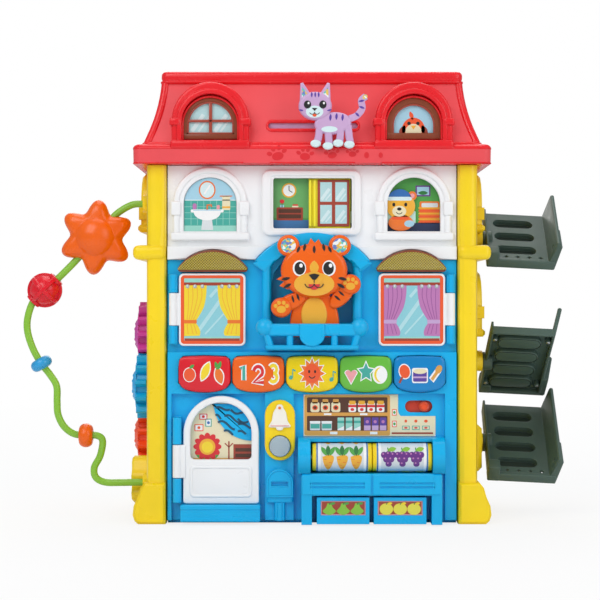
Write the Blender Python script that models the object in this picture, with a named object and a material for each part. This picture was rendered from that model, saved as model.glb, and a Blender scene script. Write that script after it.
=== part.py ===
# Activity playhouse for babies: a two-storey house with a mansard roof, opening windows and door,
# press buttons, rollers, three meshed gears, a bead wire and three zigzag ramps.
# Every size below is in millimetres. MM turns it into metres when a mesh is made.
# X runs along the front, Y from the front to the back, Z up; the origin is under the house's centre.
import math

import bmesh
import bpy
from mathutils import Matrix, Vector

MM = 0.001
GAP = 0.3            # left between pieces that touch
WALL = 3.0           # moulded wall
SEGMENTS = 12        # sides of a small round piece

# House
PANEL_HALF = 144.4   # half width of the front and back panels
FRONT = -95.0        # front face of the flat wall
BACK = 95.0          # back face of the back panel
LOWER_TOP = 263.0    # top of the blue storey
UPPER_TOP = 357.4    # top of the white storey
POST_OUT = 165.0     # outer face of the corner posts
POST_FRONT = 103.0   # posts stand this far from the middle, front and back
FOOT_OUT = 178.5
BELT_LOW = 263.0
BELT_HIGH = 277.7
RELIEF_FRONT = -101.0   # button band, pilasters and door block

# Roof
EAVE_LOW = 358.0
EAVE_HIGH = 378.0
EAVE_HALF = (178.0, 111.0)
ROOF_FLARE = ((377.0, 17.5), (388.0, 13.0), (397.0, 9.5), (408.0, 6.0), (420.0, 3.0), (431.0, 1.0),
              (440.0, 0.0))
ROOF_TOP_HALF = (150.0, 83.0)
CAP_HALF = (152.0, 85.5)
CAP_TOP = 453.0
DORMER_X = 101.2
DORMER_FRONT = -110.0
CAT_SLOT = (-44.0, 46.0, 394.7, 400.2)

# Arched windows of the upper storey and of the sides
ARCH_X = 101.8
ARCH_SPRING = 319.0
ARCH_OUTER = 37.0
ARCH_INNER = 26.5
ARCH_SILL = 290.5
CENTRE_OPENING = (-38.7, 39.7, 294.6, 344.7)

# Balcony
HOOD_HALF = 56.3
HOOD_PEAK = 290.0
HOOD_THICK = 15.0
HOOD_FRONT = -106.0
NICHE_HALF = 41.0
NICHE_BACK = -82.0
RAIL_Z = 193.5
RAIL_Y = -114.0

# Hinged windows, door and their pins
WINDOW = (66.3, 132.8, 177.2, 249.6)
WINDOW_HINGE = (138.4, -99.7)
DOOR = (-128.0, -53.0, 20.5, 127.5)
DOOR_HINGE = (-134.1, -106.0)
KNUCKLE_RADIUS = 4.2
PIN_RADIUS = 1.5

# Buttons
BUTTON_PITCH = 53.5
BUTTON_SIZE = (51.6, 36.4)
BUTTON_Z = 149.3
BUTTON_FRONT = -108.5

# Shop counter and rollers
COUNTER = (-10.6, 128.4)
COUNTER_FRONT = -121.0
ROLLER_RADIUS = 14.3
ROLLER_CENTRE = (-104.5, 66.8)
ROLLERS = ((0.0, 59.2), (59.8, 118.6))

# Gears
GEAR_TEETH = 12
GEAR_MODULE = 5.0
GEAR_X = -170.0
GEAR_CENTRES = ((12.0, 187.0), (-15.0, 133.4), (12.0, 79.8))

# Bead wire
WIRE_RADIUS = 3.6
WIRE_Y = -58.0

WIRE_ENDS = (321.0, 37.0)
WIRE_ROUTE = ((-161, 321), (-172, 321), (-184, 320), (-199, 311), (-209.5, 299), (-220, 287), (-230.5, 275),
              (-242, 262), (-259, 245), (-272.5, 233), (-284, 222), (-290, 205), (-290, 190), (-284.5, 173),
              (-276, 158), (-267, 146.5), (-260.5, 135), (-260, 119), (-259, 106), (-253, 94), (-243, 86.5),
              (-230.5, 84.8), (-219, 84.6), (-213.5, 79), (-216, 64), (-222, 52), (-220.5, 42), (-211, 37),
              (-195, 36.6), (-175, 37), (-161, 37))

# Each bead: its centre and a point that its bore runs towards, as (x, z)
BEADS = {
    "bead_star": ((-220, 287), (-242, 262)),
    "bead_ball": ((-272.5, 233), (-284, 222)),
    "bead_disc": ((-276, 158), (-284.5, 173)),
    "bead_oval": ((-230.5, 84.8), (-219, 84.6)),
}

# Ramps
RAMP_SLOPE = math.radians(35.0)
RAMP_DROOP = math.radians(3.0)
RAMP_INNER = 183.0
RAMP_FACE = 180.0
RAMP_WIDTH = 62.5
RAMP_WALL_HEIGHT = 28.0
RAMP_PITCH = 25.0
RAMPS = (("ramp_top", 291.0, 1, 3), ("ramp_middle", 164.0, -1, 4), ("ramp_lower", 78.0, 1, 4))
RAMP_BOSS_DROP = 5.0
RAMP_BOSSES = tuple((0.0, z - RAMP_BOSS_DROP, RAMP_FACE - GAP) for _, z, _, _ in RAMPS)

# Back
BACK_SCREWS = tuple((x, z) for x in (-134, 134) for z in (16, 120, 235, 348)) + ((0, 98), (0, 305))
BATTERY = (-44.0, 44.0, 31.0, 85.0)


def remove_all():
    for item in list(bpy.data.objects):
        bpy.data.objects.remove(item, do_unlink=True)


def material(name, hex_colour, roughness=0.35, metallic=0.0):
    made = bpy.data.materials.get(name)
    if made:
        return made
    made = bpy.data.materials.new(name)
    made.use_nodes = True
    channels = [int(hex_colour[i:i + 2], 16) / 255 for i in (0, 2, 4)]
    linear = [c / 12.92 if c <= 0.04045 else ((c + 0.055) / 1.055) ** 2.4 for c in channels]
    shader = made.node_tree.nodes["Principled BSDF"]
    shader.inputs["Base Color"].default_value = (*linear, 1.0)
    shader.inputs["Roughness"].default_value = roughness
    shader.inputs["Metallic"].default_value = metallic
    return made


def blue():
    return material("blue_abs", "00AEEF")


def white():
    return material("white_abs", "F3F5F6")


def yellow():
    return material("yellow_abs", "FFD92E")


def red():
    return material("red_abs", "E8202F")


def orange():
    return material("orange_abs", "F26522")


def grey_green():
    return material("grey_green_abs", "4A5A57", 0.45)


def steel():
    return material("zinc_plated_steel", "B8BCC0", 0.3, 1.0)


def printed(name, hex_colour):
    return material(name, hex_colour, 0.4)


# Shapes. Each helper returns a mesh in metres.

def finish_mesh(shape, name="shape"):
    bmesh.ops.remove_doubles(shape, verts=shape.verts, dist=1e-6)
    bmesh.ops.recalc_face_normals(shape, faces=shape.faces)
    mesh = bpy.data.meshes.new(name)
    shape.to_mesh(mesh)
    shape.free()
    return mesh


def place(axis, u, v, along):
    # A flat outline's (u, v) and its place along the axis that it is extruded on
    if axis == "Y":
        return Vector((u, along, v)) * MM
    if axis == "X":
        return Vector((along, u, v)) * MM
    return Vector((u, v, along)) * MM


def prism(outline, start, end, axis="Y", edge=0.0, segments=1):
    # Outline extruded from start to end; edge rounds the rim of its start face
    shape = bmesh.new()
    corners = [shape.verts.new(place(axis, u, v, start)) for u, v in outline]
    near = shape.faces.new(corners)
    far = bmesh.ops.extrude_face_region(shape, geom=[near])
    moved = [item for item in far["geom"] if isinstance(item, bmesh.types.BMVert)]
    bmesh.ops.translate(shape, verts=moved, vec=place(axis, 0, 0, end) - place(axis, 0, 0, start))
    bmesh.ops.recalc_face_normals(shape, faces=shape.faces)
    if edge:
        rim = [e for e in shape.edges if all(v in corners for v in e.verts)]
        bmesh.ops.bevel(shape, geom=rim, offset=edge * MM, segments=segments, profile=0.5,
                        affect="EDGES", clamp_overlap=True, material=-1)
    return finish_mesh(shape)


def box(x0, x1, y0, y1, z0, z1, edge=0.0, segments=1):
    shape = bmesh.new()
    bmesh.ops.create_cube(shape, size=1.0)
    bmesh.ops.scale(shape, verts=shape.verts, vec=Vector((x1 - x0, y1 - y0, z1 - z0)) * MM)
    middle = Vector((x0 + x1, y0 + y1, z0 + z1)) * MM / 2
    bmesh.ops.translate(shape, verts=shape.verts, vec=middle)
    if edge:
        bmesh.ops.bevel(shape, geom=shape.edges[:], offset=edge * MM, segments=segments, profile=0.5,
                        affect="EDGES", clamp_overlap=True, material=-1)
    return finish_mesh(shape)


def rod(axis, centre, radius, start, end, sides=SEGMENTS, end_radius=None):
    # Cylinder or cone along an axis; centre holds the two other coordinates
    shape = bmesh.new()
    bmesh.ops.create_cone(shape, cap_ends=True, segments=sides, radius1=radius * MM,
                          radius2=(radius if end_radius is None else end_radius) * MM,
                          depth=(end - start) * MM)
    turns = {"X": Matrix.Rotation(math.pi / 2, 3, "Y"), "Y": Matrix.Rotation(-math.pi / 2, 3, "X"),
             "Z": Matrix.Identity(3)}
    bmesh.ops.rotate(shape, verts=shape.verts, matrix=turns[axis])
    bmesh.ops.translate(shape, verts=shape.verts, vec=place(axis, *centre, (start + end) / 2))
    return finish_mesh(shape)


def turned(axis, centre, profile, sides=SEGMENTS):
    # Profile of (radius, along) spun about an axis; its ends lie on the axis
    spare = {"X": Vector((0, 1, 0)), "Y": Vector((1, 0, 0)), "Z": Vector((1, 0, 0))}[axis]
    way = {"X": Vector((1, 0, 0)), "Y": Vector((0, 1, 0)), "Z": Vector((0, 0, 1))}[axis]
    base = place(axis, *centre, 0)
    shape = bmesh.new()
    line = [shape.verts.new(base + (spare * r + way * a) * MM) for r, a in profile]
    edges = [shape.edges.new(pair) for pair in zip(line, line[1:])]
    bmesh.ops.spin(shape, geom=line + edges, cent=base, axis=way, angle=math.tau, steps=sides,
                   use_merge=True, use_duplicate=False)
    return finish_mesh(shape)


def ball(centre, radius, sides=16, rings=8, squash=(1, 1, 1)):
    shape = bmesh.new()
    bmesh.ops.create_uvsphere(shape, u_segments=sides, v_segments=rings, radius=radius * MM)
    bmesh.ops.scale(shape, verts=shape.verts, vec=Vector(squash))
    bmesh.ops.translate(shape, verts=shape.verts, vec=Vector(centre) * MM)
    return finish_mesh(shape)


def loft(rings):
    # Closed body through rings that all have the same number of points, given in mm
    shape = bmesh.new()
    loops = []
    for ring in rings:
        corners = [shape.verts.new(Vector(p) * MM) for p in ring]
        loops.append([shape.edges.new((a, b)) for a, b in zip(corners, corners[1:] + corners[:1])])
    for lower, upper in zip(loops, loops[1:]):
        bmesh.ops.bridge_loops(shape, edges=lower + upper)
    for loop in (loops[0], loops[-1]):
        bmesh.ops.contextual_create(shape, geom=loop)
    return finish_mesh(shape)


# Outlines, as lists of (u, v) in mm

def arc(centre, radius, start, end, steps):
    angles = [math.radians(start + (end - start) * i / steps) for i in range(steps + 1)]
    return [(centre[0] + radius * math.cos(a), centre[1] + radius * math.sin(a)) for a in angles]


def rounded(u0, u1, v0, v1, radius, steps=2):
    corners = (((u1 - radius, v1 - radius), 0), ((u0 + radius, v1 - radius), 90),
               ((u0 + radius, v0 + radius), 180), ((u1 - radius, v0 + radius), 270))
    return [p for centre, turn in corners for p in arc(centre, radius, turn, turn + 90, steps)]


def arched(middle, half, low, spring, steps=8):
    return [(middle - half, low), (middle + half, low)] + arc((middle, spring), half, 0, 180, steps)


def ellipse(centre, half_u, half_v, steps=16, tilt=0.0):
    turn = math.radians(tilt)
    points = []
    for i in range(steps):
        a = math.tau * i / steps
        u, v = half_u * math.cos(a), half_v * math.sin(a)
        points.append((centre[0] + u * math.cos(turn) - v * math.sin(turn),
                       centre[1] + u * math.sin(turn) + v * math.cos(turn)))
    return points


# Nodes

def fused_or_cut(base, tool_mesh, operation):
    # One boolean step, with the points that fall together in its result made one
    piece = bpy.data.objects.new("piece", base)
    tool = bpy.data.objects.new("tool", tool_mesh)
    for item in (piece, tool):
        bpy.context.scene.collection.objects.link(item)
    step = piece.modifiers.new(operation.lower(), "BOOLEAN")
    step.operation = operation
    step.solver = "EXACT"
    step.object = tool
    bpy.context.view_layer.update()
    result = bpy.data.meshes.new_from_object(piece.evaluated_get(bpy.context.evaluated_depsgraph_get()))
    for item in (piece, tool):
        bpy.data.objects.remove(item, do_unlink=True)
    shape = bmesh.new()
    shape.from_mesh(result)
    bmesh.ops.remove_doubles(shape, verts=shape.verts, dist=2e-6)
    bmesh.ops.dissolve_degenerate(shape, edges=shape.edges, dist=1e-6)
    shape.to_mesh(result)
    shape.free()
    return result


def combined(base, join=(), cut=()):
    # Base with the join shapes fused on, and then the cut shapes taken away
    mesh = base
    for shape in join:
        mesh = fused_or_cut(mesh, shape, "UNION")
    for shape in cut:
        mesh = fused_or_cut(mesh, shape, "DIFFERENCE")
    return mesh


def node(name, finish, base, join=(), cut=(), pivot=(0, 0, 0)):
    # One named solid, with its origin at the pivot
    mesh = combined(base, join, cut)
    mesh.materials.clear()
    mesh.materials.append(finish)
    mesh.shade_smooth()
    mesh.set_sharp_from_angle(angle=math.radians(35))
    origin = Vector(pivot) * MM
    mesh.transform(Matrix.Translation(-origin))
    piece = bpy.data.objects.new(name, mesh)
    bpy.context.scene.collection.objects.link(piece)
    piece.location = origin
    return piece


# Floor, sides and back

def make_base_plate():
    ribs = [box(x - 1, x + 1, -60, 60, 2, 8) for x in (-100, -50, 50, 100)]
    ribs += [box(*sorted((side * (PANEL_HALF - 4), side * (POST_OUT - 4.5))), -65.5, 65.5, 0, 3)
             for side in (-1, 1)]
    node("base_plate", blue(), box(-PANEL_HALF, PANEL_HALF, FRONT + 4, BACK - 4, 0, 3), ribs)


def post_outline(side, y0, y1):
    # Plan of a corner post
    low, high = sorted((side * (PANEL_HALF + 1), side * POST_OUT))
    return rounded(low, high, y0, y1, 6.0)


def foot_outline(side):
    inner = side * (PANEL_HALF + 1.4)
    profile = [(167, 41), (171, 36), (173.5, 27), (177.5, 18), (FOOT_OUT, 9), (176.5, 3), (173, 0)]
    return [(inner, 0), (inner, 41)] + [(side * x, z) for x, z in profile]


def side_arch(side, low, spring, top_half=36.0):
    # Arched blind window on a side wall: frame, pane recess, capitals and sill
    face = side * (POST_OUT - 1)
    ring = prism(arched(0, top_half, low, spring), side * 176.5, face, "X", 2.5)
    pane = prism(arched(0, top_half - 11, low + 6, spring), side * 169, side * 190, "X")
    sill = box(*sorted((face, side * 179.3)), -top_half - 3, top_half + 3, low - 3, low + 5, 2.5)
    capitals = [box(*sorted((side * (POST_OUT - 1.5), side * 178.4)), y - 6, y + 6, spring - 14, spring - 1.5)
                for y in (-top_half + 4, top_half - 4)]
    return ring, pane, [sill] + capitals


def make_side_panel(side, name):
    wall = box(*sorted((side * (POST_OUT - 4), side * POST_OUT)), -92, 92, 0, UPPER_TOP)
    joined = []
    for y0, y1 in ((-POST_FRONT, -84), (84, POST_FRONT)):
        joined.append(prism(post_outline(side, y0, y1), 0, UPPER_TOP, "Z"))
    for y0, y1 in ((-POST_FRONT - 4, -66), (66, POST_FRONT + 4)):
        joined.append(prism(foot_outline(side), y0, y1, "Y", 2.5))
    belt = box(*sorted((side * (PANEL_HALF + 1.4), side * FOOT_OUT)), -POST_FRONT - 3, POST_FRONT + 3,
               BELT_LOW, BELT_HIGH, 5.5, 3)
    joined.append(belt)
    cut = []
    arches = [(296.0, 320.0)]
    if side > 0:
        arches.append((188.0, 218.0))
    for low, spring in arches:
        ring, pane, trim = side_arch(side, low, spring)
        joined.append(ring)
        cut.append(pane)
        joined.extend(trim)
    if side < 0:
        for y, z in GEAR_CENTRES:
            joined.append(rod("X", (y, z), 12, GEAR_X + 0.3, -POST_OUT + 1, 16))
            joined.append(rod("X", (y, z), 2.9, -183, GEAR_X + 1, 14))
        for z in WIRE_ENDS:
            joined.append(rod("X", (WIRE_Y, z), 8.5, -172, -POST_OUT + 1, 12, 11))
            cut.append(rod("X", (WIRE_Y, z), WIRE_RADIUS + GAP + 0.2, -180, -158, 12))
        joined.append(prism(bush_outline(), -185, -POST_OUT + 1, "X", 2.5))
    else:
        joined.append(box(POST_OUT - 1, 176, -40, 40, 46, 94, 4))
        for y, z, reach in RAMP_BOSSES:
            joined.append(rod("X", (y, z), 11, POST_OUT - 1, reach, SEGMENTS))
            cut.append(rod("X", (y, z), 6.0, 150, 200, 12))
    node(name, yellow(), wall, joined, cut)


def bush_outline():
    # Scalloped bush low on the left side
    lobes = [(-30, 12)]
    for y, z, r, start, end in ((-42, 24, 9, 250, 130), (-43, 41, 8.5, 230, 110), (-36, 54, 8.5, 170, 20),
                                (-20, 43, 7.5, 100, 0), (-6, 33, 7.5, 90, -10), (4, 22, 7.5, 70, -60)):
        lobes += arc((y, z), r, start, end, 4)
    return lobes


def make_back_panel():
    frame = [box(x0, x1, BACK - 1, BACK + 2, z0, z1, 0.8) for x0, x1, z0, z1 in
             ((-126, 126, 338, 343), (-126, 126, 268, 273), (-126, -121, 110, 343), (121, 126, 110, 343),
              (-126, 126, 110, 115))]
    cut = [box(-46, 46, BACK - 8, BACK + 8, 29, 87)]
    for x, z in BACK_SCREWS:
        cut.append(rod("Y", (x, z), 4.6, BACK - 2.2, BACK + 4, 12))
    node("back_panel", blue(), box(-PANEL_HALF, PANEL_HALF, BACK - WALL - 0.6, BACK, 3.3, UPPER_TOP),
         frame, cut)


# Roof

def roof_ring(z, inset=0.0, radius=7.0):
    flare = dict(ROOF_FLARE)[z]
    half_x, half_y = (half + flare - inset for half in ROOF_TOP_HALF)
    return [(x, y, z) for x, y in rounded(-half_x, half_x, -half_y, half_y, radius, 3)]


def dormer_frame(side):
    # Arched dormer front with a raised ring, capitals and a sill; the frame runs back into the slope
    x = side * DORMER_X
    ring = prism(arched(x, 38.5, 380, 401.2), DORMER_FRONT, -70, "Y", 2.5)
    step = prism(arched(x, 33.5, 380, 401.2), DORMER_FRONT + 1.5, -80, "Y")
    sill = box(x - 39.5, x + 39.5, DORMER_FRONT - 3, -90, 372.5, 381.5, 3)
    opening = prism(arched(x, 28, 383, 397.5), -130, -98, "Y")
    cap = [box(x + s * 35 - 5, x + s * 35 + 5, DORMER_FRONT - 1.5, -90, 397, 405) for s in (-1, 1)]
    return [ring, step, sill] + cap, opening


def make_roof():
    body = loft([roof_ring(z) for z, _ in ROOF_FLARE])
    eave = loft([[(x, y, z) for x, y in rounded(-hx + i, hx - i, -hy + i, hy - i, 8 - i, 3)]
                 for (hx, hy), i, z in ((EAVE_HALF, 1.0, EAVE_LOW), (EAVE_HALF, 0.0, EAVE_LOW + 1.5),
                                        (EAVE_HALF, 0.0, 372.5), (EAVE_HALF, 1.6, 376.3),
                                        (EAVE_HALF, 5.0, EAVE_HIGH))])
    joined = [eave]
    hollow = loft([[(x, y, z) for x, y in rounded(-hx, hx, -hy, hy, 5)]
                   for hx, hy, z in ((171, 104, EAVE_LOW - 5), (170, 103, 374.0), (163, 96, 379.0),
                                     (157, 90, 397.0), (150.5, 83.5, 420.0), (147.0, 80.0, 436.5))])
    cut = [hollow]
    for side in (-1, 1):
        frames, opening = dormer_frame(side)
        joined += frames
        cut.append(opening)
    x0, x1, z0, z1 = CAT_SLOT
    cut.append(prism(rounded(x0, x1, z0, z1, 2.2, 2), -120, -80))
    cut.append(prism(rounded(x0 - 2.7, x1 + 2.5, z0 - 2.3, z1 + 3, 3, 2), -120, -93.4))
    node("roof_shell", red(), body, joined, cut)

    hx, hy = CAP_HALF
    plan = ((2.5, 440.3), (1.5, 442.5), (0.0, 443.4), (0.0, 449.5), (1.4, 452.0), (4.0, CAP_TOP))
    node("roof_cap", red(), loft([[(x, y, z) for x, y in rounded(-hx + i, hx - i, -hy + i, hy - i, 8 - i, 3)]
                                  for i, z in plan]))


def make_dormer_windows():
    # Brown frame with glazing bars on the left, an oval picture surround on the right
    brown = material("brown_abs", "8A4326")
    for side, name in ((-1, "dormer_window_left"), (1, "dormer_window_right")):
        x = side * DORMER_X
        plate = prism(arched(x, 27.6, 383.4, 397.5), -104, -98.4)
        pane = prism(arched(x, 21, 389.5, 397), -110, -101.6)
        bars = []
        if side < 0:
            bars = [box(x - 1.2, x + 1.2, -103.4, -100, 385, 421),
                    box(x - 24, x + 24, -103.4, -100, 400, 402.4)]
        node(name, brown, combined(plate, (), [pane]), bars)


# White upper storey

def hood_outline(grow=0.0, steps=10):
    # Arch over the balcony as a closed segment above the storey line
    rise = HOOD_PEAK - LOWER_TOP
    radius = (HOOD_HALF ** 2 + rise ** 2) / (2 * rise)
    centre = (0.5, HOOD_PEAK - radius)
    reach = math.degrees(math.asin(HOOD_HALF / radius))
    return arc(centre, radius + grow, 90 - reach - 2, 90 + reach + 2, steps)


def lens_outline(side, grow=0.0):
    # Half-moon with a flat foot
    x = side * 98.9
    half, low, high = 35.6 + grow, 250.6 - grow, 273.2 + grow
    rise = high - low - 4
    radius = (half ** 2 + rise ** 2) / (2 * rise)
    reach = math.degrees(math.asin(half / radius))
    top = arc((x, high - radius), radius, 90 - reach, 90 + reach, 14)
    return [(x - half + 3, low), (x + half - 3, low)] + top


def make_upper_panel():
    wall = box(-PANEL_HALF, PANEL_HALF, FRONT, FRONT + WALL, LOWER_TOP + GAP, UPPER_TOP)
    joined = [box(-PANEL_HALF, PANEL_HALF, FRONT - 5, FRONT + 1, LOWER_TOP + GAP, 276.5, 1.2)]
    cut = []
    for side in (-1, 1):
        x = side * ARCH_X
        joined.append(prism(arched(x, ARCH_OUTER, ARCH_SILL, ARCH_SPRING), FRONT - 4, FRONT + 1, "Y", 1.5))
        joined.append(box(x - 39.6, x + 39.6, FRONT - 6, FRONT + 1, 282.4, 290.4, 2))
        for s in (-1, 1):
            joined.append(box(x + s * 34.2 - 5, x + s * 34.2 + 5, FRONT - 5.5, FRONT + 1, 307.3, 321.5))
        cut.append(prism(arched(x, ARCH_INNER, ARCH_SILL + 0.5, ARCH_SPRING), FRONT - 20, FRONT + 20))
        cut.append(prism(lens_outline(side, 0.5), FRONT - 20, FRONT - GAP))
    x0, x1, z0, z1 = CENTRE_OPENING
    joined.append(prism(rounded(-50.2, 49.2, 287.3, 352.7, 8, 4), FRONT - 4, FRONT + 1, "Y", 1.5))
    cut.append(prism(rounded(x0, x1, z0, z1, 2), FRONT - 20, FRONT + 20))
    hood = [(-59, 250), (60, 250)] + hood_outline(0.6)
    cut.append(prism(hood, FRONT - 20, FRONT + 20))
    node("front_upper_panel", white(), wall, joined, cut)


def make_upper_pictures():
    # Board behind the upper windows, 4 mm back so that the sliding parts pass between
    pads = [prism(arched(-ARCH_X, ARCH_INNER - 0.4, ARCH_SILL + 1, ARCH_SPRING), FRONT + 0.5, -87)]
    node("upper_picture_board", printed("printed_card", "BFE6DC"),
         box(-140, 140, -87.5, -85.5, 291, 350), pads)


def make_sliding_window():
    frame = box(-3.3, 38.5, -91.7, -89.8, 292.5, 346.8)
    grip = [box(-3.0, -0.8, -95.5, -91, 298, 341, 0.6), box(1.6, 3.6, -94.5, -91, 298, 341, 0.6)]
    bars = [box(6.5, 36.5, -93.2, -91, z - 1.6, z + 1.6) for z in (299.5, 319.6, 339.8)]
    bars += [box(x - 1.6, x + 1.6, -93.2, -91, 298, 341.4) for x in (8, 21, 35)]
    node("sliding_window", yellow(), frame, grip + bars)
    strip = box(26, 104, -89.5, -88.2, 300, 312)
    figure = prism(ellipse((90.5, 318), 14.5, 13) , -91.4, -88.2)
    body = prism(ellipse((90.5, 300.5), 12.5, 8.5), -91.4, -88.2)
    node("peek_card", printed("printed_card_warm", "F2A93B"), strip, [figure, body])


# Blue lower storey

def button_outline(x, grow=0.0):
    # Flat-topped button with a deep belly
    half, rise = BUTTON_SIZE[0] / 2 + grow, BUTTON_SIZE[1] / 2 + grow
    top = [(x + half - 5, BUTTON_Z + rise - 0.9), (x, BUTTON_Z + rise), (x - half + 5, BUTTON_Z + rise - 0.9)]
    left = [(x - half + 1.2, BUTTON_Z + rise - 4), (x - half, BUTTON_Z + 6), (x - half, BUTTON_Z - rise + 10)]
    belly = [(x + (half - 2.5) * math.sin(a), BUTTON_Z - rise + 7.5 * (1 - math.cos(a)))
             for a in (math.radians(d) for d in (-68, -45, -22, 0, 22, 45, 68))]
    right = [(2 * x - u, v) for u, v in reversed(left)]
    return top + left + belly + right


def balcony():
    # Hood, columns, rails and balusters in front of the niche
    rise = HOOD_PEAK - LOWER_TOP
    radius = (HOOD_HALF ** 2 + rise ** 2) / (2 * rise)
    centre = (0.5, HOOD_PEAK - radius)
    reach = math.degrees(math.asin(HOOD_HALF / radius)) + 4
    outer = arc(centre, radius, 90 - reach, 90 + reach, 10)
    inner = arc(centre, radius - HOOD_THICK, 90 + reach, 90 - reach, 10)
    parts = [prism(outer + inner, HOOD_FRONT, FRONT + 1, "Y", 2.5)]
    for side in (-1, 1):
        x = side * 45.2
        parts.append(rod("Z", (x, -99.5), 4.4, 198, 261, 12))
        parts.append(ball((side * 46.9, RAIL_Y + 1, 196), 8.8, 10, 6))
        parts.append(rod("Y", (side * 46.9, 196), 4.2, RAIL_Y, FRONT + 1, 10))
        parts.append(loft([[(u, v, 174.5) for u, v in ellipse((side * 40.5, RAIL_Y), 3.4, 3.4, 6)],
                           [(u, v, 191.0) for u, v in ellipse((side * 45.5, RAIL_Y), 3.4, 3.4, 6)]]))
        parts.append(rod("Z", (side * 22, RAIL_Y), 3.2, 175, 190, 8))
    parts.append(box(-44, 44, RAIL_Y - 4.6, RAIL_Y + 4.6, RAIL_Z - 6, RAIL_Z + 6, 2.2))
    parts.append(box(-46, 46, RAIL_Y - 4, FRONT + 1, 173.4, 178.2))
    plaque = ([(-12.4, RAIL_Z + 6), (-13, 190)] + arc((0, 190), 12.9, 205, 335, 8)
              + [(13, 190), (12.4, RAIL_Z + 6)])
    parts.append(prism(plaque[::-1], RAIL_Y - 6.6, RAIL_Y, "Y", 1.2))
    return parts


def knuckles(x, y, runs):
    # Fixed hinge knuckles with the web that ties each to the wall
    parts = []
    for z0, z1 in runs:
        parts.append(rod("Z", (x, y), KNUCKLE_RADIUS, z0, z1, 12))
        parts.append(box(x - 3.4, x + 3.4, y, FRONT + 1, z0, z1))
    return parts


def counter():
    # Shop counter: hood, cheeks, front with grooved boards, legs and two crates
    x0, x1 = COUNTER
    cheek = ([(FRONT + 1, 52), (FRONT + 1, 86.4), (-105, 86.4)] + arc((-105, 70.4), 16, 90, 180, 6)
             + [(-121, 52)])
    parts = [prism(cheek, x0 - 3.4, x0 + 9.0, "X"), prism(cheek, 119.2, 131.4, "X")]
    parts.append(prism([(FRONT + 1, 81.5), (FRONT + 1, 86.4), (-105, 86.4), (-110, 85.4), (-108, 81.5)],
                       x0, x1, "X"))
    parts.append(box(x0, x1, COUNTER_FRONT, FRONT + 1, 30, 51.5, 1.5))
    for edge in (x0, 118.0):
        parts.append(box(edge, edge + 10.4, COUNTER_FRONT + 1.5, FRONT + 1, 1.2, 31))
    for x in (4.6, 60.9):
        parts.append(box(x, x + 52, COUNTER_FRONT + 4, FRONT + 1, 1.6, 28))
    cut = [box(-1.0, 119.0, -130, FRONT + 20, 51.6, 82.2)]
    for low, high in ((-2.0, 51.7), (66.9, 121.0)):
        for z in (37.5, 41.2):
            cut.append(box(low, high, COUNTER_FRONT - 2, COUNTER_FRONT + 1.2, z, z + 1.8))
    cut.append(box(57.8, 60.2, COUNTER_FRONT - 2, COUNTER_FRONT + 1.5, 29, 53))
    for x in (8.4, 64.7):
        cut.append(box(x, x + 44.6, COUNTER_FRONT + 2, COUNTER_FRONT + 5.2, 10.2, 24.6))
    cut.append(rod("X", ROLLER_CENTRE, 2.8, x0 - 1.4, 129.4, 12))
    return parts, cut


def mailbox():
    parts = [prism(arched(-32, 13.3, 27, 41.5), -108, -100, "Y", 2)]
    parts.append(box(-45, -19, -106.5, -100, 21.6, 29, 1.2))
    parts.append(box(-37.5, -27.0, -105, -100, 3.5, 23, 1.0))
    return parts, [box(-40.3, -24, -112, -105, 38.6, 42.6)]


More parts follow.
